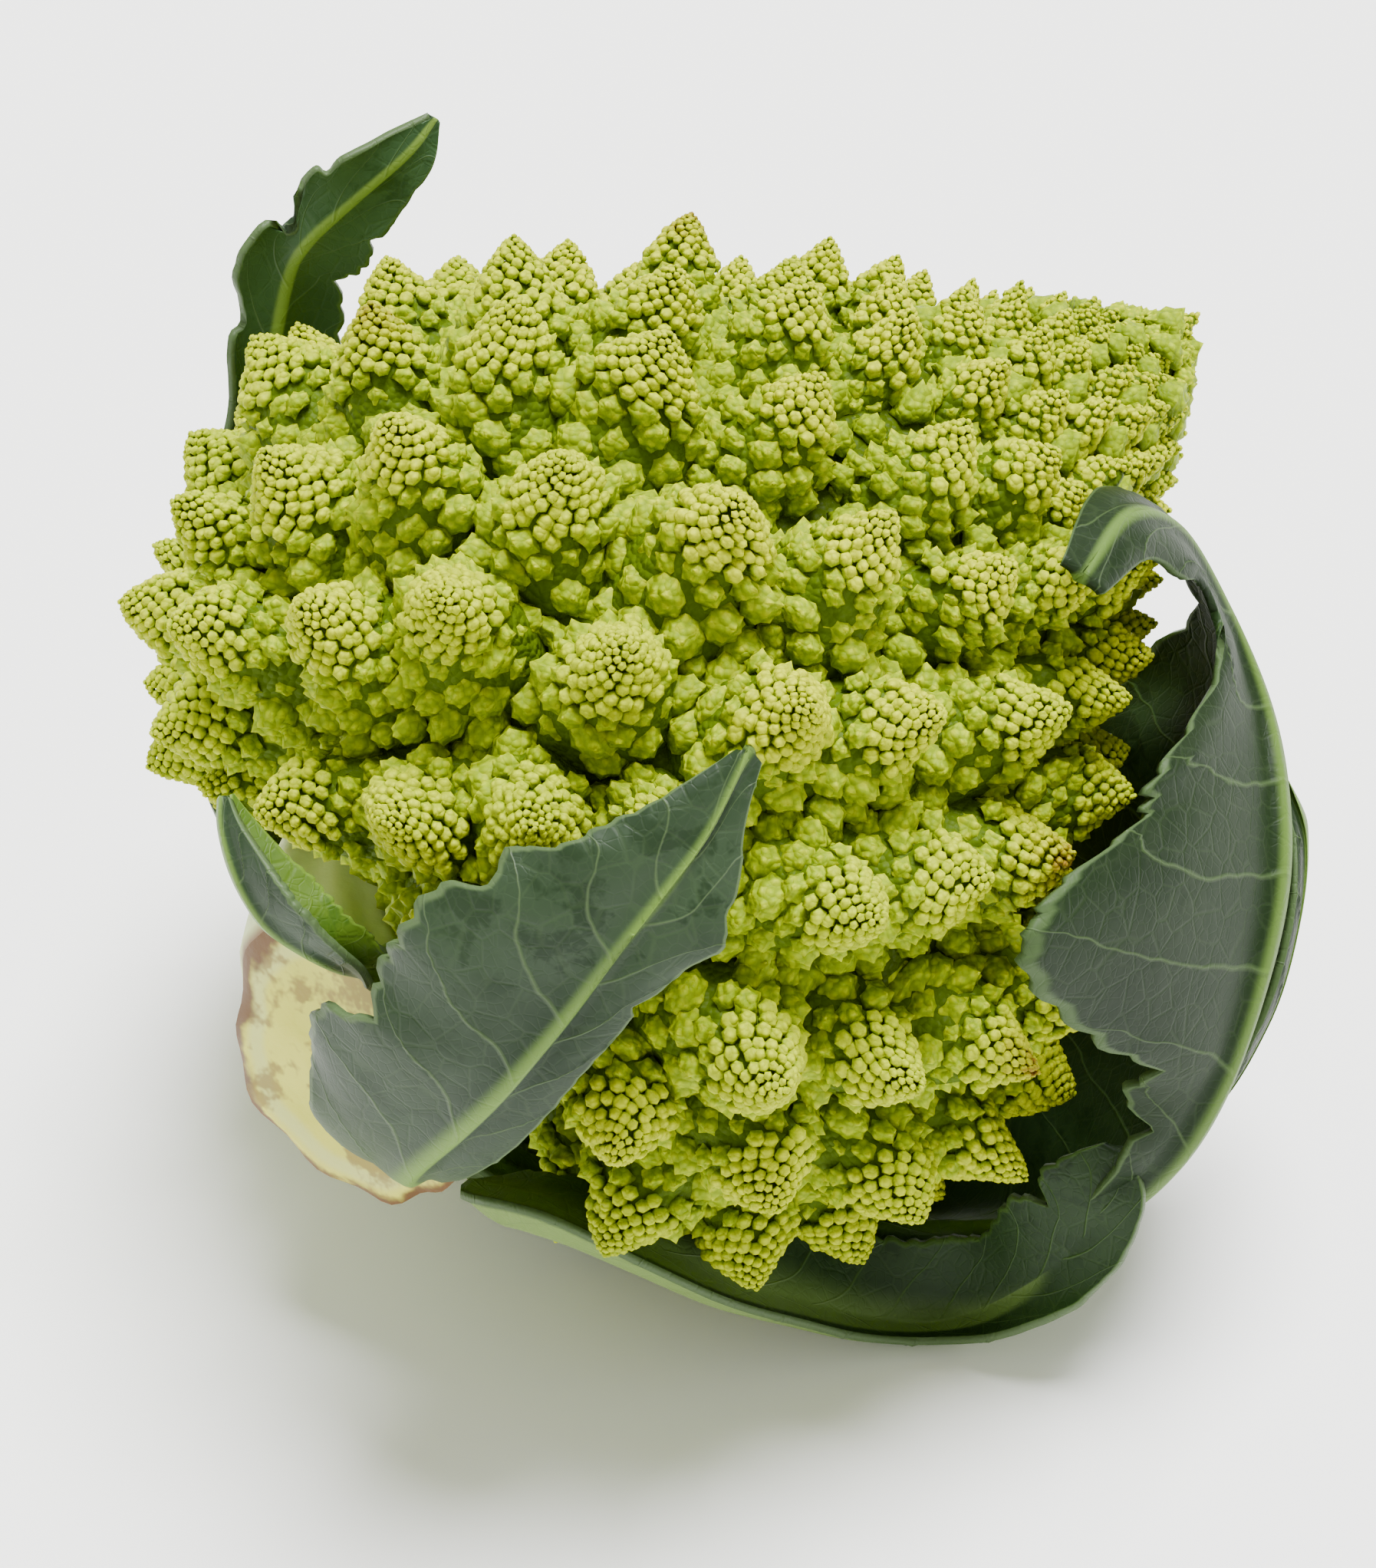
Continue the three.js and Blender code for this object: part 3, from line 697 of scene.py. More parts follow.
def grow_curd(guard, material, core_material):
    random = np.random.default_rng(CURD_SEED)
    bead = model_bead(5, 3)
    buds = [
        (0.0, bead), (SMALL_BEAD_UPTO, model_bead(6, 4)),
        (SMALL_KNOB_AT, model_knob("knob_small", 0.4, 1)),
        (LARGE_KNOB_AT, model_knob("knob_large", 0.31, 1)),
    ]
    far_buds = [
        (0.0, bead), (SMALL_KNOB_AT, model_bead(6, 4)), (LARGE_KNOB_AT, model_knob("knob_far", 0.3, 0)),
    ]
    florets = place_florets()
    florets.append((APEX, AXIS, APEX_FLORET))
    florets.append((seen(LONE_TIP), unit(seen(LONE_TIP) - seen(LONE_ROOT)), LONE_SIZE))
    tips = np.array([floret[0] for floret in florets])
    directions = np.array([floret[1] for floret in florets])
    sizes = np.array([floret[2] for floret in florets])
    spread = tips - CENTRE
    facing = directions @ VIEW_NEAR > NEAR_SIDE_FROM
    ages = np.zeros(len(florets))
    for right, up in BROWNED:
        away = np.hypot(spread @ VIEW_RIGHT - right, spread @ VIEW_UP - up)
        nearest = np.argmin(np.where(facing, away, math.inf))
        if away[nearest] < BROWNED_WITHIN:
            ages[nearest] = 1.0
    grown = [
        grow_floret(own, tips, directions, sizes, ages[own], random, guard,
                    buds if directions[own] @ VIEW_NEAR > FAR_SIDE else far_buds)
        for own in range(len(florets))
    ]
    core, core_places = grow_core()
    grown.append(fill_valleys(core_places, tips, directions, sizes, random, guard, buds[-1][1]))
    totals = np.cumsum([sum(len(part[1]) for part in parts) for parts in grown])
    group_of = (totals - 1) * len(PIECE_NAMES) // totals[-1]
    for group, group_name in enumerate(PIECE_NAMES):
        parts = [part for own in np.flatnonzero(group_of == group) for part in grown[own]]
        piece = piece_from_parts("curd_" + group_name, parts)
        piece.data.materials.append(material)
        finish_piece(piece, "curd")
    # The flesh is coloured dark all over, as painted shade of the deep valleys it shows through.
    core.data.materials.append(core_material)
    finish_piece(core, "curd")


def fill_valleys(places, tips, directions, sizes, random, guard, knob):
    """Knobs on the flesh wherever no floret stands over it."""
    roots = []
    for place in places:
        depth, aside = depth_and_aside((place - tips) / sizes[:, None], directions)
        covered = np.any((depth > 0) & (depth < COVERED_BELOW) & (aside < COVERED_ASIDE))
        crowded = any(np.linalg.norm(place - root) < FILLER_SPACING for root in roots)
        away = np.linalg.norm(place - CENTRE)
        if not covered and not crowded and away + FILLER_SIZE < guard.limit(place):
            roots.append(place)
    roots = np.array(roots)
    facing = unit(unit(roots - CENTRE) + random.normal(0, FILLER_FACING_STRAY, roots.shape))
    knob_sizes = FILLER_SIZE * random.normal(1.0, FILLER_SIZE_STRAY, len(roots))
    turns = random.uniform(0, 2 * math.pi, len(roots))
    copies = copy_buds(knob, roots - facing, facing, knob_sizes, turns)
    # Filler knobs count as wholly low, so they take the painted shade of the valleys.
    return [(*copies, FILLER_TONE, np.zeros(len(copies[0])), np.ones(len(copies[0])))]


def grow_floret(own, tips, directions, sizes, age, random, guard, buds):
    """One floret's buds and heart: for each part its places, faces, rises, tone, ages and lows."""
    size = sizes[own]
    direction = directions[own]
    start = random.uniform(0, 2 * math.pi)
    towards_apex = np.clip((tips[own] - CENTRE) @ AXIS / APEX_TO_CENTRE, -1, 1) * 0.5 + 0.5
    tone = TONE_CHANCE * random.uniform(0, 1) + (1 - TONE_CHANCE) * towards_apex
    tip = guard.kept_under(tips[own])
    if size < SMALLEST_FLORET:
        root = tip - direction * size * BUD_HEIGHT
        knob = copy_buds(
            buds[-1][1], root[None], direction[None], np.array([size * LONE_KNOB]), np.array([start]))
        return [(*knob, tone, np.zeros(len(knob[0])), np.zeros(len(knob[0])))]
    rows = shape_steps(
        FLORET_SHAPE, FIRST_BEAD * BEAD_SIZE / size, BUD_PACKING, FLORET_DEPTH,
        lambda travelled: bud_size(travelled, size))
    travelled, depth, radius, down, out, share = rows.T
    angles = start + GOLDEN_ANGLE * np.arange(len(rows)) + random.normal(0, BUD_TURN_STRAY, len(rows))
    across, along = frames_for(direction[None], np.zeros(1))
    radial = across * np.cos(angles)[:, None] + along * np.sin(angles)[:, None]
    points = tip - direction * (depth * size)[:, None] + radial * (radius * size)[:, None]
    facing = radial * down[:, None] + direction * (out[:, None] + BUD_LEAN)
    facing = unit(facing + random.normal(0, BUD_FACING_STRAY, facing.shape))
    bud_sizes = share * size * random.normal(1.0, BUD_SIZE_STRAY, len(rows))
    lower = np.clip(travelled / LOWER_SLOPE, 0, 1)
    points = points + facing * (random.normal(0, BUD_REACH_STRAY, len(rows)) * lower * bud_sizes)[:, None]
    keep = ~buried(points, own, tips, directions, sizes)
    points = np.array([guard.kept_under(point) for point in points[keep]]).reshape(-1, 3)
    facing, bud_sizes, travelled = facing[keep], bud_sizes[keep], travelled[keep]
    roots = points - facing * (bud_sizes * BUD_HEIGHT)[:, None]
    turns = random.uniform(0, 2 * math.pi, len(points))
    parts = []
    for kind, (from_size, bud) in enumerate(buds):
        upto = buds[kind + 1][0] if kind + 1 < len(buds) else math.inf
        chosen = (bud_sizes >= from_size) & (bud_sizes < upto)
        if chosen.any():
            copies = copy_buds(
                bud, roots[chosen], facing[chosen], bud_sizes[chosen] * BUD_OVERLAP, turns[chosen])
            spots = np.repeat(travelled[chosen], len(bud[0]))
            ages = age * np.clip(1 - spots / BROWN_REACH, 0, 1)
            # Buds count as more low further down the floret, which darkens them as painted shade.
            parts.append((*copies, tone, ages, np.clip(spots - LOW_SHADE_FROM, 0, 1)))
    first_root = tip - direction * BEAD_SIZE * BUD_HEIGHT
    first = copy_buds(
        buds[0][1], first_root[None], direction[None], np.array([BEAD_SIZE * BUD_OVERLAP]), np.zeros(1))
    parts.append((*first, tone, np.full(len(first[0]), age), np.zeros(len(first[0]))))
    heart = floret_heart(tip, direction, size, across[0], along[0])
    # The heart counts as partly low, which deepens its painted shade.
    parts.append((*heart, tone, np.zeros(len(heart[0])), np.full(len(heart[0]), HEART_LOW_SHADE)))
    return parts


# A floret's heart: its rings' depths, its share of the floret's radius, how far the rings are set back,
# where its two ends are, how many sides it has, and how low it counts in the colours, where low is painted
# shade.
HEART_DEPTHS = np.array([0.12, 0.28, 0.45, 0.65, 0.85, 1.05])
HEART_SHARE = 0.87
HEART_SET_BACK = 0.04
HEART_TOP = 0.1
HEART_FOOT = 1.15
HEART_SIDES = 10
HEART_LOW_SHADE = 0.5


def floret_heart(tip, direction, size, across, along):
    """The body inside a floret, which shows only in the furrows between its buds and is coloured as their
    painted shade.
    """
    radii = shape_radius(HEART_DEPTHS) * HEART_SHARE
    angles = np.arange(HEART_SIDES) * 2 * math.pi / HEART_SIDES
    rings = [
        tip - direction * depth * size
        + (across * np.cos(angles)[:, None] + along * np.sin(angles)[:, None]) * radius * size
        for depth, radius in zip(HEART_DEPTHS + HEART_SET_BACK, radii)
    ]
    places = np.vstack([*rings, tip - direction * HEART_TOP * size, tip - direction * HEART_FOOT * size])
    top = len(rings) * HEART_SIDES
    faces = []
    for side in range(HEART_SIDES):
        following = (side + 1) % HEART_SIDES
        for base in range(0, top - HEART_SIDES, HEART_SIDES):
            a, b = base + side, base + following
            faces += [(a, a + HEART_SIDES, b + HEART_SIDES), (a, b + HEART_SIDES, b)]
        last = top - HEART_SIDES
        faces += [(top, side, following), (top + 1, last + following, last + side)]
    # Rises of 0 give the heart the darkest painted shade of the furrows.
    return places, np.array(faces), np.zeros(len(places))


def piece_from_parts(name, parts):
    shifts = np.cumsum([0] + [len(part[0]) for part in parts[:-1]])
    places = sway(np.concatenate([part[0] for part in parts]))
    places[:, 2] = np.maximum(places[:, 2], 0.0)
    faces = np.concatenate([part[1] + shift for part, shift in zip(parts, shifts)])
    piece = new_piece(name, places, faces)
    set_marks(piece.data, "rise", np.concatenate([part[2] for part in parts]))
    set_marks(piece.data, "tone", np.concatenate([np.full(len(part[0]), part[3]) for part in parts]))
    set_marks(piece.data, "age", np.concatenate([part[4] for part in parts]))
    set_marks(piece.data, "low", np.concatenate([part[5] for part in parts]))
    return piece


SWAY = 0.7


def sway(places):
    """A slow unevenness, so that no floret is quite regular."""
    x, y, z = places.T
    return places + SWAY * np.stack([
        np.sin(0.21 * y + 0.13 * z + 1.0),
        np.sin(0.19 * z + 0.15 * x + 2.1),
        np.sin(0.23 * x + 0.11 * y + 4.2),
    ], axis=1)


# The flesh lies this share of a floret's size under the tips, and this far above the floor.
CORE_DEPTH = 0.75
CORE_GROWTH = 1.4
CORE_FIRST = 4.0
CORE_LEAST_RADIUS = 0.3
CORE_ABOVE_FLOOR = 1.0
# The flesh starts this far down the profile, and its slope is read over this step.
CORE_START = 0.02
CORE_SLOPE_STEP = 1e-3
POLE = 0.001


SORT_DIGITS = 3


def grow_core():
    """The flesh that the florets branch from, and the places on it where a valley may need a knob."""
    select_nothing()
    bpy.ops.mesh.primitive_uv_sphere_add(segments=48, ring_count=28, radius=1)
    core = bpy.context.object
    core.name = "curd_core"
    core.data.name = "curd_core"
    places = vertices_of(core.data)
    share = np.arccos(np.clip(places[:, 2], -1, 1)) / math.pi
    reach = CORE_START + (1 - CORE_START) * share
    line = profile_line(TIP_PROFILE, reach)[0]
    after = profile_line(TIP_PROFILE, np.minimum(reach + CORE_SLOPE_STEP, 1))[0]
    before = profile_line(TIP_PROFILE, reach - CORE_SLOPE_STEP)[0]
    slope = unit(after - before)
    floret_sizes = SIZE_GROWTH * np.maximum(line[:, 0] * CORE_GROWTH, CORE_FIRST)
    depth = CORE_DEPTH * np.minimum(floret_sizes, LARGEST_FLORET)
    backs = line[:, 0] + slope[:, 1] * depth
    radii = np.maximum(line[:, 1] - slope[:, 0] * depth, CORE_LEAST_RADIUS)
    radii = np.where((share < POLE) | (share > 1 - POLE), 0, radii)
    angles = np.arctan2(places[:, 1], places[:, 0])
    radial = LOW_SIDE * np.cos(angles)[:, None] - NEAR_SIDE * np.sin(angles)[:, None]
    shaped = press_in(APEX - AXIS * backs[:, None] + radial * radii[:, None])
    shaped[:, 2] = np.maximum(shaped[:, 2], CORE_ABOVE_FLOOR)
    write_vertices(core.data, to_world(shaped))
    core.data.shade_smooth()
    corners = shaped[triangles_of(core.data)]
    edge_middles = [(corners[:, k] + corners[:, (k + 1) % 3]) / 2 for k in range(3)]
    between = np.concatenate([corners.mean(axis=1), *edge_middles])
    # The ball's faces come in no fixed order, so the places taken from them are sorted.
    between = between[np.lexsort(np.round(between, SORT_DIGITS).T)]
    return core, np.concatenate([shaped, between])


# Leaves.
BLADE = 1.1
ROWS_PER_STATION = 12
BLADE_COLUMNS = 32
# Teeth along the edge, row by row, and how deep they and the edge's waves cut, as shares of the width.
TOOTH = (0.0, 0.35, 1.0, 0.5)
TOOTH_DEPTH = 0.07
EDGE_WAVE = 0.04
# The least share of the width that teeth and bites leave. They fade in from one width to another.
LEAST_TRIM = 0.2
TRIM_FROM = 4
TRIM_FADE = 6
# The base is rounded over this share of the length, and is this much as wide at its very start.
LEAF_START = 0.04
START_WIDTH = 0.3
# The rib takes up this share of the columns, and at most this share of the width.
RIB_COLUMN = 0.25
WIDEST_RIB = 0.9
# A blade this wide has its full bulge. The edge's ruffles fade in from one width to another.
FULL_BULGE_WIDTH = 20
RUFFLE = 0.9
FINE_RUFFLE = 0.45
RUFFLE_FROM = 6
RUFFLE_FADE = 12
# Side veins: how they bend, wobble and taper, how wide they are drawn and raised, and how high.
VEIN_BEND = 0.25
VEIN_WOBBLE = 0.12
WOBBLE_ACROSS = 5.0
WOBBLE_ALONG = 9.0
VEIN_TAPER = 0.7
DRAWN_WIDTH = 0.05
RAISED_WIDTH = 0.13
VEIN_HEIGHT = 0.25
VEIN_START = 0.6
RIB_ROUNDNESS = 1.5
# The under leaf's pale edge: its strength on the inner half, and where it ends and fades.
INNER_HALF = 0.3
PALE_UPTO = 0.8
PALE_FADE = 0.15
# Each leaf's number of side veins, and how far they sweep towards the tip.
VEINS = {
    "leaf_under": (11, 1.6), "leaf_right": (16, 1.7), "leaf_right_outer": (12, 1.6),
    "leaf_front": (9, 1.7), "leaf_back": (11, 1.6), "leaf_small": (6, 1.4),
}
# Bites out of a leaf's edge: side, place along the leaf, share of the width, and length.
BITES = {
    "leaf_front": [(1, 0.60, 0.35, 0.012), (-1, 0.42, 0.12, 0.03), (-1, 0.66, 0.14, 0.025),
                   (1, 0.8, 0.2, 0.03)],
    "leaf_right": [(-1, 0.47, 0.3, 0.01), (-1, 0.53, 0.2, 0.02), (-1, 0.72, 0.25, 0.03),
                   (-1, 0.84, 0.7, 0.03), (1, 0.8, 0.3, 0.03)],
    "leaf_back": [(-1, 0.62, 0.15, 0.02), (-1, 0.75, 0.15, 0.015), (-1, 0.86, 0.15, 0.012),
                  (1, 0.675, 1.3, 0.022), (1, 0.77, 0.4, 0.02), (1, 0.88, 0.4, 0.03), (1, 0.53, 0.4, 0.025)],
    "leaf_under": [(1, 0.85, 0.3, 0.02), (-1, 0.8, 0.2, 0.02)],
    "leaf_small": [],
    "leaf_right_outer": [(1, 0.8, 0.3, 0.02)],
}


def leaf_sheet(name, leaf, rows, columns):
    """The middle surface of a leaf, with each point's place along it and share of the width."""
    places_along = np.linspace(0, 1, rows)
    rib, left, right = (
        smooth_line([seen(row[k]) for row in leaf["stations"]], places_along) for k in range(3)
    )
    column = np.linspace(-1, 1, columns)[None, :, None]
    edge = np.where(column < 0, left[:, None, :], right[:, None, :])
    width = np.linalg.norm(edge - rib[:, None, :], axis=2, keepdims=True)
    along = places_along[:, None, None]
    half_rib = leaf["rib_width"][0] + (leaf["rib_width"][1] - leaf["rib_width"][0]) * along
    rib_part = np.minimum(WIDEST_RIB, half_rib / width)
    away = np.abs(column)
    share = np.where(
        away <= RIB_COLUMN,
        away / RIB_COLUMN * rib_part,
        rib_part + (away - RIB_COLUMN) / (1 - RIB_COLUMN) * (1 - rib_part),
    )
    side = np.sign(column)
    phase = 2.3 * len(name)
    row = np.arange(rows)
    teeth = np.array(TOOTH)[row % len(TOOTH)] * (0.6 + 0.4 * np.sin(row * 1.7 + phase))
    trim = 1 - TOOTH_DEPTH * teeth[:, None, None] - EDGE_WAVE * np.sin(along * 26 + phase + side) ** 2
    for bite_side, bite_at, bite_share, bite_length in BITES[name]:
        cut = bite_share * np.exp(-((along - bite_at) / bite_length) ** 2)
        trim = trim - np.where(side == bite_side, cut, 0)
    towards_edge = np.clip((share - rib_part) / (1 - rib_part), 0, 1)
    wide_enough = np.clip((width - TRIM_FROM) / TRIM_FADE, 0, 1)
    trim = 1 - (1 - np.maximum(trim, LEAST_TRIM)) * towards_edge * wide_enough
    start = np.sqrt(np.clip(along / LEAF_START, 0, 1))
    reach = share * trim * (START_WIDTH + (1 - START_WIDTH) * start)
    points = rib[:, None, :] + (edge - rib[:, None, :]) * reach
    outward = unit(points - CENTRE)
    bulge = leaf["bulge"] * 4 * reach * (1 - reach) * np.minimum(1, width / FULL_BULGE_WIDTH)
    points = points + outward * bulge
    ruffle = RUFFLE * np.sin(along * 30 + side * 1.3 + phase) + FINE_RUFFLE * np.sin(along * 53 + phase)
    ruffle = ruffle * share ** 2 * np.clip((width - RUFFLE_FROM) / RUFFLE_FADE, 0, 1)
    points = points + outward * ruffle
    along = np.broadcast_to(along, share.shape)
    return points, along[..., 0], (share * side)[..., 0], rib_part[..., 0]


def vein_pattern(along, share, count, sweep):
    """How near each point is to a side vein, 1 on the vein."""
    away = np.abs(share)
    run = along * count - sweep * away * (1 - VEIN_BEND * away) + np.where(share > 0, 0.5, 0.0)
    run = run + VEIN_WOBBLE * np.sin(WOBBLE_ACROSS * away + WOBBLE_ALONG * along)
    distance = np.abs((run + 0.5) % 1.0 - 0.5)
    return np.clip(1 - distance / (RAISED_WIDTH * (1 - VEIN_TAPER * away)), 0, 1)


def grow_leaf(name, leaf, materials):
    """One leaf's blade with its outside and inside materials, from a flat grid."""
    rows = ROWS_PER_STATION * (len(leaf["stations"]) - 1) + 1
    columns = BLADE_COLUMNS + 1
    sheet, along, share, rib_part = leaf_sheet(name, leaf, rows, columns)
    select_nothing()
    bpy.ops.mesh.primitive_grid_add(x_subdivisions=columns - 1, y_subdivisions=rows - 1, size=2)
    piece = bpy.context.object
    piece.name = name + "_blade"
    piece.data.name = piece.name
    flat = vertices_of(piece.data)
    column_at = np.rint((flat[:, 0] + 1) / 2 * (columns - 1)).astype(int)
    row_at = np.rint((flat[:, 1] + 1) / 2 * (rows - 1)).astype(int)
    write_vertices(piece.data, sheet[row_at, column_at])
    normals = np.empty(len(flat) * 3, np.float32)
    piece.data.vertices.foreach_get("normal", normals)
    normals = normals.reshape(-1, 3)
    middle = sheet[rows // 3, columns // 2] - CENTRE
    at_middle = np.flatnonzero((row_at == rows // 3) & (column_at == columns // 2))[0]
    if normals[at_middle] @ middle < 0:
        bpy.ops.object.mode_set(mode="EDIT")
        bpy.ops.mesh.select_all(action="SELECT")
        bpy.ops.mesh.flip_normals()
        bpy.ops.object.mode_set(mode="OBJECT")
        normals = -normals
    leaf_along = along[row_at, column_at]
    leaf_share = share[row_at, column_at]
    leaf_rib = rib_part[row_at, 0]
    outline = piece.data.uv_layers.active.data
    corners = np.empty(len(piece.data.loops), np.int32)
    piece.data.loops.foreach_get("vertex_index", corners)
    chart = np.stack([leaf_share[corners] * 0.5 + 0.5, leaf_along[corners]], axis=1)
    outline.foreach_set("uv", chart.astype(np.float32).ravel())
    across_rib = np.clip(1 - np.abs(leaf_share) / leaf_rib, 0, 1)
    rib_marks = across_rib
    if leaf.get("pale_edge"):
        fade = np.clip((PALE_UPTO - leaf_along) / PALE_FADE, 0, 1)
        rib_marks = rib_marks * np.where(leaf_share > 0, INNER_HALF, 1.0) * fade
    set_marks(piece.data, "rib", rib_marks)
    set_marks(piece.data, "along", leaf_along)
    for material in materials:
        piece.data.materials.append(material)
    solidify = piece.modifiers.new("thickness", "SOLIDIFY")
    solidify.thickness = BLADE
    solidify.offset = 0
    solidify.use_even_offset = False
    solidify.material_offset = 1
    solidify.material_offset_rim = 0
    bpy.ops.object.modifier_apply(modifier="thickness")
    places = vertices_of(piece.data)
    count, sweep = VEINS[name]
    vein = vein_pattern(leaf_along, leaf_share, count, sweep)
    rise = VEIN_HEIGHT * vein * np.clip(np.abs(leaf_share) / leaf_rib - VEIN_START, 0, 1)
    height = leaf["rib_height"][0] + (leaf["rib_height"][1] - leaf["rib_height"][0]) * leaf_along
    height = height * np.sqrt(np.clip(leaf_along / LEAF_START, 0, 1))
    rise = rise + np.sin(across_rib * math.pi / 2) ** RIB_ROUNDNESS * height
    outer_first = (places[:len(flat)] - sheet[row_at, column_at]) * normals
    outer = slice(0, len(flat)) if outer_first.sum() > 0 else slice(len(flat), 2 * len(flat))
    places[outer] += normals * rise[:, None]
    places[:, 2] = np.maximum(places[:, 2], 0.0)
    write_vertices(piece.data, to_world(places))
    piece.data.shade_smooth()
    finish_piece(piece, name)
    return sheet


# The stalk.
STALK_SIDES = 64
CUT_RINGS = 9
SIDE_RINGS = 17
# How far the stalk bends on its way out, the power that spreads the rings of the cut face, and the
# heights of the waves round it.
STALK_BEND = 12.0
RING_SPREAD = 0.8
STALK_WAVES = (0.9, 0.6, 0.4)
# The scar of a cut leaf: its height, its place along the stalk and its length.
SCAR_HEIGHT = 1.2
SCAR_AT = 0.55
SCAR_LENGTH = 0.12
# The cut face: its warp, its hollow middle, its fine waves, and how its rim is broken down.
CUT_WARP = 0.9
CUT_HOLLOW = 1.4
CUT_WAVES = 0.3
RIM_DROP = 0.4
RIM_BREAKS = 0.6


def grow_stalk(side_material, cut_material):
    """The stalk from a ball, whose top becomes the cut face and whose rest becomes the side."""
    select_nothing()
    rings = CUT_RINGS + SIDE_RINGS
    bpy.ops.mesh.primitive_uv_sphere_add(segments=STALK_SIDES, ring_count=rings, radius=1)
    stalk = bpy.context.object
    stalk.name = "stalk_stub"
    stalk.data.name = "stalk_stub"
    places = vertices_of(stalk.data)
    ring = np.rint(np.arccos(np.clip(places[:, 2], -1, 1)) / math.pi * rings)
    turn = np.arctan2(places[:, 1], places[:, 0])
    out = np.where(ring == rings, 0.0, np.minimum(ring / CUT_RINGS, 1.0)) ** RING_SPREAD
    lift = np.clip(1 - (ring - CUT_RINGS) / (SIDE_RINGS - 1), 0, 1)
    facing = unit(seen(CUT_FACING) - CENTRE)
    start, cut = seen(STALK_START), seen(STALK_CUT)
    bend = start - AXIS * STALK_BEND
    t = lift[:, None]
    path = (1 - t) ** 2 * start + 2 * (1 - t) * t * bend + t ** 2 * cut
    heading = unit(-AXIS * (1 - t) + facing * t)
    across, along = frames_for(heading, np.zeros(len(places)))
    broad, middle, fine = STALK_WAVES
    waves = broad * np.sin(3 * turn + 1) + middle * np.sin(5 * turn + 2) + fine * np.sin(11 * turn + 2 + lift)
    scar = np.exp(-((lift - SCAR_AT) / SCAR_LENGTH) ** 2) * np.clip(np.sin(2 * turn + 0.6), 0, 1)
    radius = out * (STALK_RADIUS + waves + SCAR_HEIGHT * scar)
    on_cut = ring <= CUT_RINGS
    dish = CUT_WARP * np.sin(2 * turn + 1) * out - CUT_HOLLOW * (1 - out)
    dish = dish + CUT_WAVES * np.sin(9 * out + 3 * turn) * out
    rim = np.where(ring == CUT_RINGS, -RIM_DROP - RIM_BREAKS * np.sin(5 * turn) ** 2, 0)
    shaped = path + across * (radius * np.cos(turn))[:, None] + along * (radius * np.sin(turn))[:, None]
    shaped = shaped + heading * (np.where(on_cut, dish, 0) + rim)[:, None]
    write_vertices(stalk.data, to_world(shaped))
    set_marks(stalk.data, "out", np.where(on_cut, out, 1.0))
    set_marks(stalk.data, "lift", lift)
    stalk.data.materials.append(side_material)
    stalk.data.materials.append(cut_material)
    for face in stalk.data.polygons:
        face.material_index = 1 if all(on_cut[k] for k in face.vertices) else 0
    stalk.data.shade_smooth()
    finish_piece(stalk, "stalk")


# Materials. Scales of patterns are per metre, and depths of bumps are metres.
WARMTH = 0.7
PIMPLES = 950
PIMPLE_DEPTH = 0.0005
BROWN = (0.18, 0.075, 0.01)


def curd_material(name, furrow_shade, body, warm_highlight_colour):
    """Skin from painted shade in the furrows to a painted highlight on the bumps' tops, warmer to the point,
    and browned by age.
    """
    material, tree, shader = new_material(name)
    # rise is 1 on a bump's top and falls in the furrows and towards the bud feet; the colours below paint
    # shade and highlight by it.
    rise = marks_of(tree, "rise")
    warmth_and_highlight = plus(tree, times(tree, noise_of(tree, 28, 3), WARMTH),
                times(tree, marks_of(tree, "tone"), WARMTH), clamp=True)
    # The warm bright colour shows only towards the bumps' tops, as a painted highlight that also carries the
    # warmer tone.
    warmth_and_highlight = times(tree, warmth_and_highlight, step_between(tree, rise, 0.35, 1.0))
    body_colour = mix_colours(tree, warmth_and_highlight, body, warm_highlight_colour)
    # Painted shade: towards the furrows and bud feet the colour falls to the dark furrow colour.
    colour = mix_colours(tree, step_between(tree, rise, 0.0, 0.6), furrow_shade, body_colour)
    # Painted shade low on the florets and on the filler knobs: the highlight goes and the furrow colour comes
    # up.
    low = times(tree, marks_of(tree, "low"), 0.7, clamp=True)
    colour = mix_colours(tree, low, colour, mix_colours(tree, rise, furrow_shade, body))
    cells = add_node(tree, "ShaderNodeTexVoronoi", feature="SMOOTH_F1")
    set_inputs(cells, {"Scale": PIMPLES, "Smoothness": 0.15})
    tree.links.new(object_places(tree), cells.inputs["Vector"])
    pimple = cells.outputs["Distance"]
    # Painted shade along the borders between the pimples.
    pimple_furrow_shade = times(tree, step_between(tree, pimple, 0.3, 0.7), 0.3)
    colour = mix_colours(tree, pimple_furrow_shade, colour, furrow_shade)
    speckle = step_between(tree, noise_of(tree, 420, 2), 0.45, 0.75)
    brown = times(tree, marks_of(tree, "age"), plus(tree, speckle, 0.4), clamp=True)
    brown = times(tree, brown, step_between(tree, noise_of(tree, 90, 2), 0.3, 0.55))
    colour = mix_colours(tree, brown, colour, BROWN)
    tree.links.new(colour, shader.inputs["Base Color"])
    set_inputs(shader, {
        "Roughness": 0.5, "Specular IOR Level": 0.08, "Subsurface Weight": 0.1,
        "Subsurface Radius": (0.8, 1.0, 0.1), "Subsurface Scale": 0.003,
    })
    add_bump(tree, shader, minus(tree, 1.0, pimple), 1.0, PIMPLE_DEPTH)
    return material


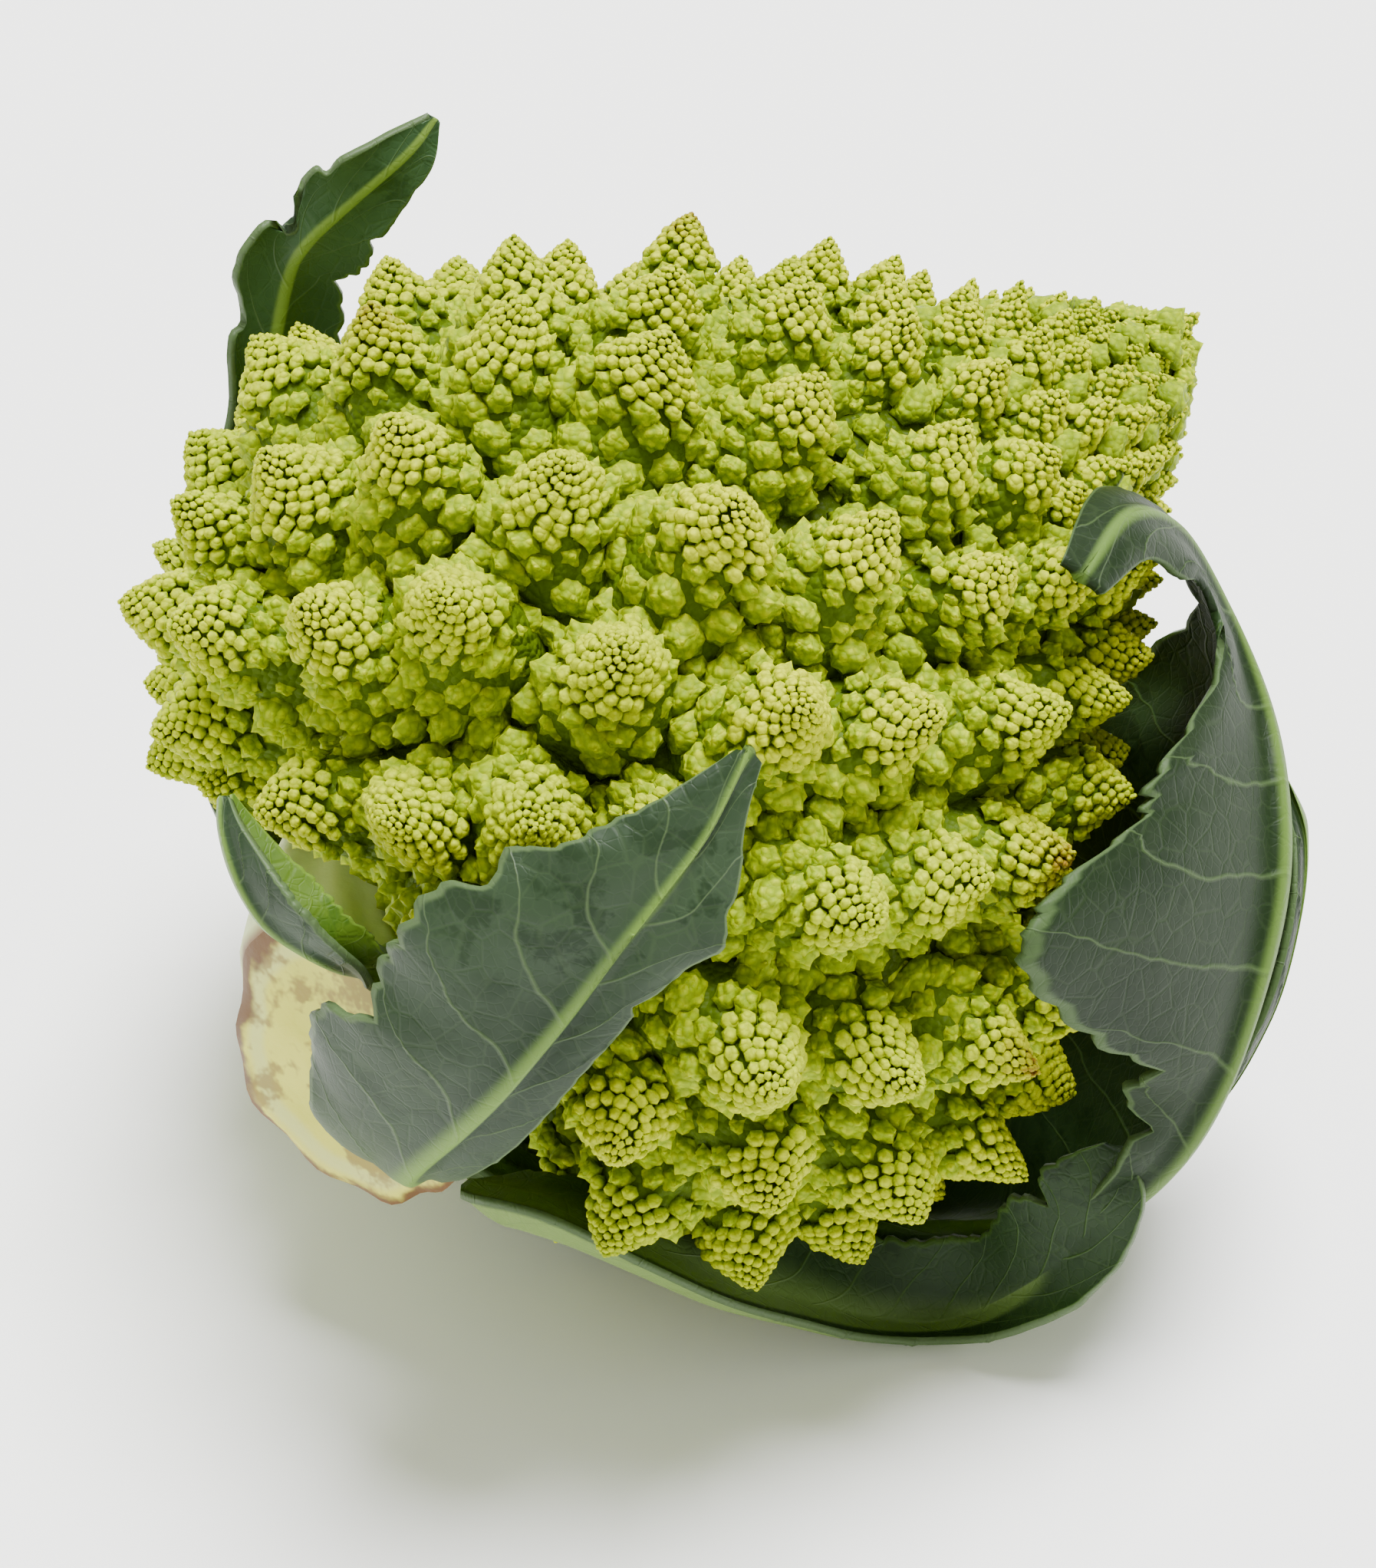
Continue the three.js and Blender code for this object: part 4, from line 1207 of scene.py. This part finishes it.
def vein_group():
    """Side veins, the fine net between them and the edge, from a leaf's own chart."""
    group = bpy.data.node_groups.new("leaf_veins", "ShaderNodeTree")
    for socket in ("Count", "Sweep"):
        group.interface.new_socket(socket, in_out="INPUT", socket_type="NodeSocketFloat")
    for socket in ("Vein", "Net", "Edge"):
        group.interface.new_socket(socket, in_out="OUTPUT", socket_type="NodeSocketFloat")
    given = group.nodes.new("NodeGroupInput")
    result = group.nodes.new("NodeGroupOutput")
    parts = add_node(group, "ShaderNodeSeparateXYZ")
    group.links.new(add_node(group, "ShaderNodeUVMap").outputs["UV"], parts.inputs[0])
    across, along = parts.outputs[0], parts.outputs[1]
    offset = minus(group, across, 0.5)
    away = times(group, math_node(group, "ABSOLUTE", offset), 2.0)
    drift = times(group, away, minus(group, 1.0, times(group, away, VEIN_BEND)))
    drift = times(group, drift, given.outputs["Sweep"])
    run = minus(group, times(group, along, given.outputs["Count"]), drift)
    run = plus(group, run, times(group, math_node(group, "GREATER_THAN", offset, 0.0), 0.5))
    swing = plus(group, times(group, away, WOBBLE_ACROSS), times(group, along, WOBBLE_ALONG))
    run = plus(group, run, times(group, math_node(group, "SINE", swing), VEIN_WOBBLE))
    run = plus(group, run, times(group, minus(group, noise_of(group, 90, 2), 0.5), 0.3))
    part = math_node(group, "FRACT", plus(group, run, 0.5))
    distance = math_node(group, "ABSOLUTE", minus(group, part, 0.5))
    width = times(group, minus(group, 1.0, times(group, away, VEIN_TAPER)), DRAWN_WIDTH)
    vein = minus(group, 1.0, math_node(group, "DIVIDE", distance, width), clamp=True)
    nets = []
    for scale, thickness in ((210, 0.06), (620, 0.1)):
        cells = add_node(group, "ShaderNodeTexVoronoi", feature="DISTANCE_TO_EDGE")
        set_inputs(cells, {"Scale": scale})
        group.links.new(object_places(group), cells.inputs["Vector"])
        nets.append(step_between(group, cells.outputs["Distance"], thickness, 0.0))
    net = plus(group, nets[0], times(group, nets[1], 0.5), clamp=True)
    group.links.new(vein, result.inputs["Vein"])
    group.links.new(net, result.inputs["Net"])
    group.links.new(step_between(group, away, 0.93, 0.97), result.inputs["Edge"])
    return group


def leaf_material(name, group, veins, deep, body, bloom, vein_colour, rib_colour,
                  rib_from=0.1, rib_to=0.5, sheen=0.22):
    """A leaf's side: mottled body, rubbed bloom, net and veins, a paler base and edge, and the rib."""
    material, tree, shader = new_material(name)
    pattern = add_node(tree, "ShaderNodeGroup", node_tree=group)
    set_inputs(pattern, {"Count": veins[0], "Sweep": veins[1]})
    mottle = step_between(tree, noise_of(tree, 26, 3), 0.35, 0.65)
    colour = mix_colours(tree, mottle, deep, body)
    cloud = step_between(tree, noise_of(tree, 38, 5, 0.6), 0.38, 0.66)
    rubbed = step_between(tree, noise_of(tree, 150, 4, 0.65, (1, 0.4, 1.3)), 0.60, 0.52)
    colour = mix_colours(tree, times(tree, cloud, rubbed), colour, bloom)
    base = step_between(tree, marks_of(tree, "along"), 0.3, 0.06)
    for share, strength in ((pattern.outputs["Net"], 0.1), (pattern.outputs["Vein"], 0.7), (base, 0.75)):
        colour = mix_colours(tree, times(tree, share, strength), colour, vein_colour)
    rib = step_between(tree, marks_of(tree, "rib"), rib_from, rib_to)
    colour = mix_colours(tree, rib, colour, rib_colour)
    colour = mix_colours(tree, times(tree, pattern.outputs["Edge"], 0.8), colour, vein_colour)
    tree.links.new(colour, shader.inputs["Base Color"])
    set_inputs(shader, {
        "Roughness": 0.5, "Specular IOR Level": sheen, "Subsurface Weight": 0.06,
        "Subsurface Radius": (0.5, 0.8, 0.2), "Subsurface Scale": 0.0015,
    })
    height = plus(tree, times(tree, pattern.outputs["Net"], -0.3),
                  plus(tree, pattern.outputs["Vein"], noise_of(tree, 240, 3)))
    add_bump(tree, shader, height, 0.4, 0.0004)
    return material


def stalk_material(name, colour_of, roughness, grain, grain_strength, grain_depth):
    """Pale flesh with the given colour and a fine grain: its detail, strength and depth."""
    material, tree, shader = new_material(name)
    tree.links.new(colour_of(tree), shader.inputs["Base Color"])
    set_inputs(shader, {"Roughness": roughness, "Subsurface Weight": 0.15, "Subsurface Scale": 0.004})
    add_bump(tree, shader, noise_of(tree, *grain), grain_strength, grain_depth)
    return material


def side_colour(tree):
    """Pale green skin with a broken brown line at the cut."""
    colour = mix_colours(tree, noise_of(tree, 60, 4), (0.48, 0.60, 0.17), (0.70, 0.78, 0.32))
    rim = step_between(tree, marks_of(tree, "lift"), 0.9, 1.0)
    rim = times(tree, rim, step_between(tree, noise_of(tree, 120, 3), 0.4, 0.6))
    return mix_colours(tree, rim, colour, (0.20, 0.11, 0.03))


def cut_colour(tree):
    """Cream flesh with a greener ring, brown smudges and a brown rim."""
    out = marks_of(tree, "out")
    colour = mix_colours(tree, noise_of(tree, 70, 4), (0.54, 0.53, 0.04), (0.76, 0.75, 0.11))
    ring = times(tree, step_between(tree, out, 0.72, 0.8), step_between(tree, out, 0.92, 0.84))
    colour = mix_colours(tree, times(tree, ring, 0.5), colour, (0.55, 0.62, 0.28))
    smudge = step_between(tree, noise_of(tree, 95, 4, 0.65), 0.49, 0.57)
    colour = mix_colours(tree, times(tree, smudge, 0.75), colour, (0.22, 0.13, 0.02))
    ragged = plus(tree, out, times(tree, noise_of(tree, 80, 4, 0.65), 0.5))
    return mix_colours(tree, step_between(tree, ragged, 1.12, 1.22), colour, (0.13, 0.06, 0.01))


# The stage, the lights and the camera.
FLOOR_SIZE = 6.0
FLOOR_COLOUR = (0.96, 0.96, 0.95)
CAMERA_LENS = 90.0
CAMERA_SENSOR = 36.0
CAMERA_DISTANCE = 531.4
# Right, up and near from the middle of the head.
CAMERA_AIM = (2.8, -7.5, 0.0)
SUN_FROM = (0.12, 0.14, 0.98)
SUN_SPREAD = math.radians(30)
SUN_STRENGTH = 9.5
SUN_COLOUR = (1.0, 0.995, 1.03)
SKY_STRENGTH = 0.9
SKY_COLOUR = (0.98, 1.0, 0.84)


def add_stage():
    select_nothing()
    bpy.ops.mesh.primitive_plane_add(size=FLOOR_SIZE)
    floor = bpy.context.object
    floor.name = "floor"
    material, _, shader = new_material("floor_white")
    set_inputs(shader, {"Base Color": (*FLOOR_COLOUR, 1), "Roughness": 0.8})
    floor.data.materials.append(material)


def add_camera():
    lens = bpy.data.cameras.new("camera")
    lens.lens = CAMERA_LENS
    lens.sensor_fit = "VERTICAL"
    lens.sensor_height = CAMERA_SENSOR
    lens.clip_start = 0.01
    camera = bpy.data.objects.new("camera", lens)
    camera.location = to_world(seen(CAMERA_AIM) + VIEW_NEAR * CAMERA_DISTANCE)
    camera.rotation_euler = (math.pi / 2 - VIEW_TILT, 0, 0)
    bpy.context.scene.collection.objects.link(camera)
    bpy.context.scene.camera = camera


def add_lights():
    world = bpy.data.worlds.new("studio")
    bpy.context.scene.world = world
    world.use_nodes = True
    sky = world.node_tree.nodes["Background"]
    set_inputs(sky, {"Color": (*SKY_COLOUR, 1), "Strength": SKY_STRENGTH})
    lamp = bpy.data.lights.new("softbox", "SUN")
    lamp.energy = SUN_STRENGTH
    lamp.angle = SUN_SPREAD
    lamp.color = SUN_COLOUR
    light = bpy.data.objects.new("softbox", lamp)
    light.location = SUN_FROM
    light.rotation_euler = (-Vector(SUN_FROM)).to_track_quat("-Z", "Y").to_euler()
    bpy.context.scene.collection.objects.link(light)


# Each side of each leaf has a look of its own.
OUTER = dict(deep=(0.008, 0.022, 0.006), body=(0.013, 0.030, 0.009), bloom=(0.022, 0.042, 0.018),
             vein_colour=(0.075, 0.12, 0.045), rib_colour=(0.12, 0.21, 0.035), rib_from=0.3, rib_to=0.75)
DARKER = dict(deep=(0.005, 0.014, 0.003), body=(0.007, 0.018, 0.004), bloom=(0.011, 0.022, 0.007),
              vein_colour=(0.06, 0.10, 0.035), rib_colour=(0.09, 0.16, 0.03), rib_from=0.3, rib_to=0.75,
              sheen=0.12)
PALE_RIB = dict(OUTER, rib_colour=(0.15, 0.23, 0.06), rib_from=0.0, rib_to=0.12)
INNER = dict(deep=(0.005, 0.016, 0.003), body=(0.009, 0.026, 0.005), bloom=(0.016, 0.038, 0.010),
             vein_colour=(0.05, 0.10, 0.02), rib_colour=(0.06, 0.12, 0.018), rib_from=0.5, rib_to=0.85)
CRADLE = dict(INNER, rib_colour=(0.09, 0.15, 0.035), rib_from=0.05, rib_to=0.3)
BACK = dict(deep=(0.016, 0.046, 0.012), body=(0.027, 0.068, 0.019), bloom=(0.036, 0.082, 0.030),
            vein_colour=(0.07, 0.13, 0.04), rib_colour=(0.15, 0.24, 0.04), rib_from=0.5, rib_to=0.85)
BRIGHT = dict(deep=(0.03, 0.075, 0.002), body=(0.045, 0.10, 0.004), bloom=(0.065, 0.125, 0.006),
              vein_colour=(0.11, 0.19, 0.02), rib_colour=(0.15, 0.24, 0.04))
LOOKS = {
    "leaf_under": (PALE_RIB, CRADLE), "leaf_right": (DARKER, INNER), "leaf_right_outer": (DARKER, INNER),
    "leaf_front": (OUTER, INNER), "leaf_back": (OUTER, BACK), "leaf_small": (OUTER, BRIGHT),
}
# The curd's colours: furrows as painted shade, body, and brightest bumps as painted highlight with the warmer
# tone, on its skin; on its heart, the flesh, all three are dark, as painted shade of the deep valleys.
SKIN_COLOURS = ((0.065, 0.11, 0.0), (0.31, 0.42, 0.0), (0.57, 0.60, 0.0))
HEART_SHADE_COLOURS = ((0.045, 0.075, 0.0), (0.06, 0.10, 0.0), (0.06, 0.10, 0.0))

add_camera()
add_stage()
add_lights()
vein_pattern_group = vein_group()
sheets = []
for leaf_name, leaf in LEAVES.items():
    sides = [
        leaf_material(leaf_name + side, vein_pattern_group, VEINS[leaf_name], **look)
        for side, look in zip(("_outside", "_inside"), LOOKS[leaf_name])
    ]
    sheets.append(grow_leaf(leaf_name, leaf, sides))
grow_curd(
    LeafGuard(sheets), curd_material("curd_skin", *SKIN_COLOURS), curd_material("curd_heart_shade", *HEART_SHADE_COLOURS))
grow_stalk(
    stalk_material("stalk_skin", side_colour, 0.5, (300, 4), 0.4, 0.0006),
    stalk_material("stalk_cut", cut_colour, 0.6, (260, 5), 0.5, 0.0007))
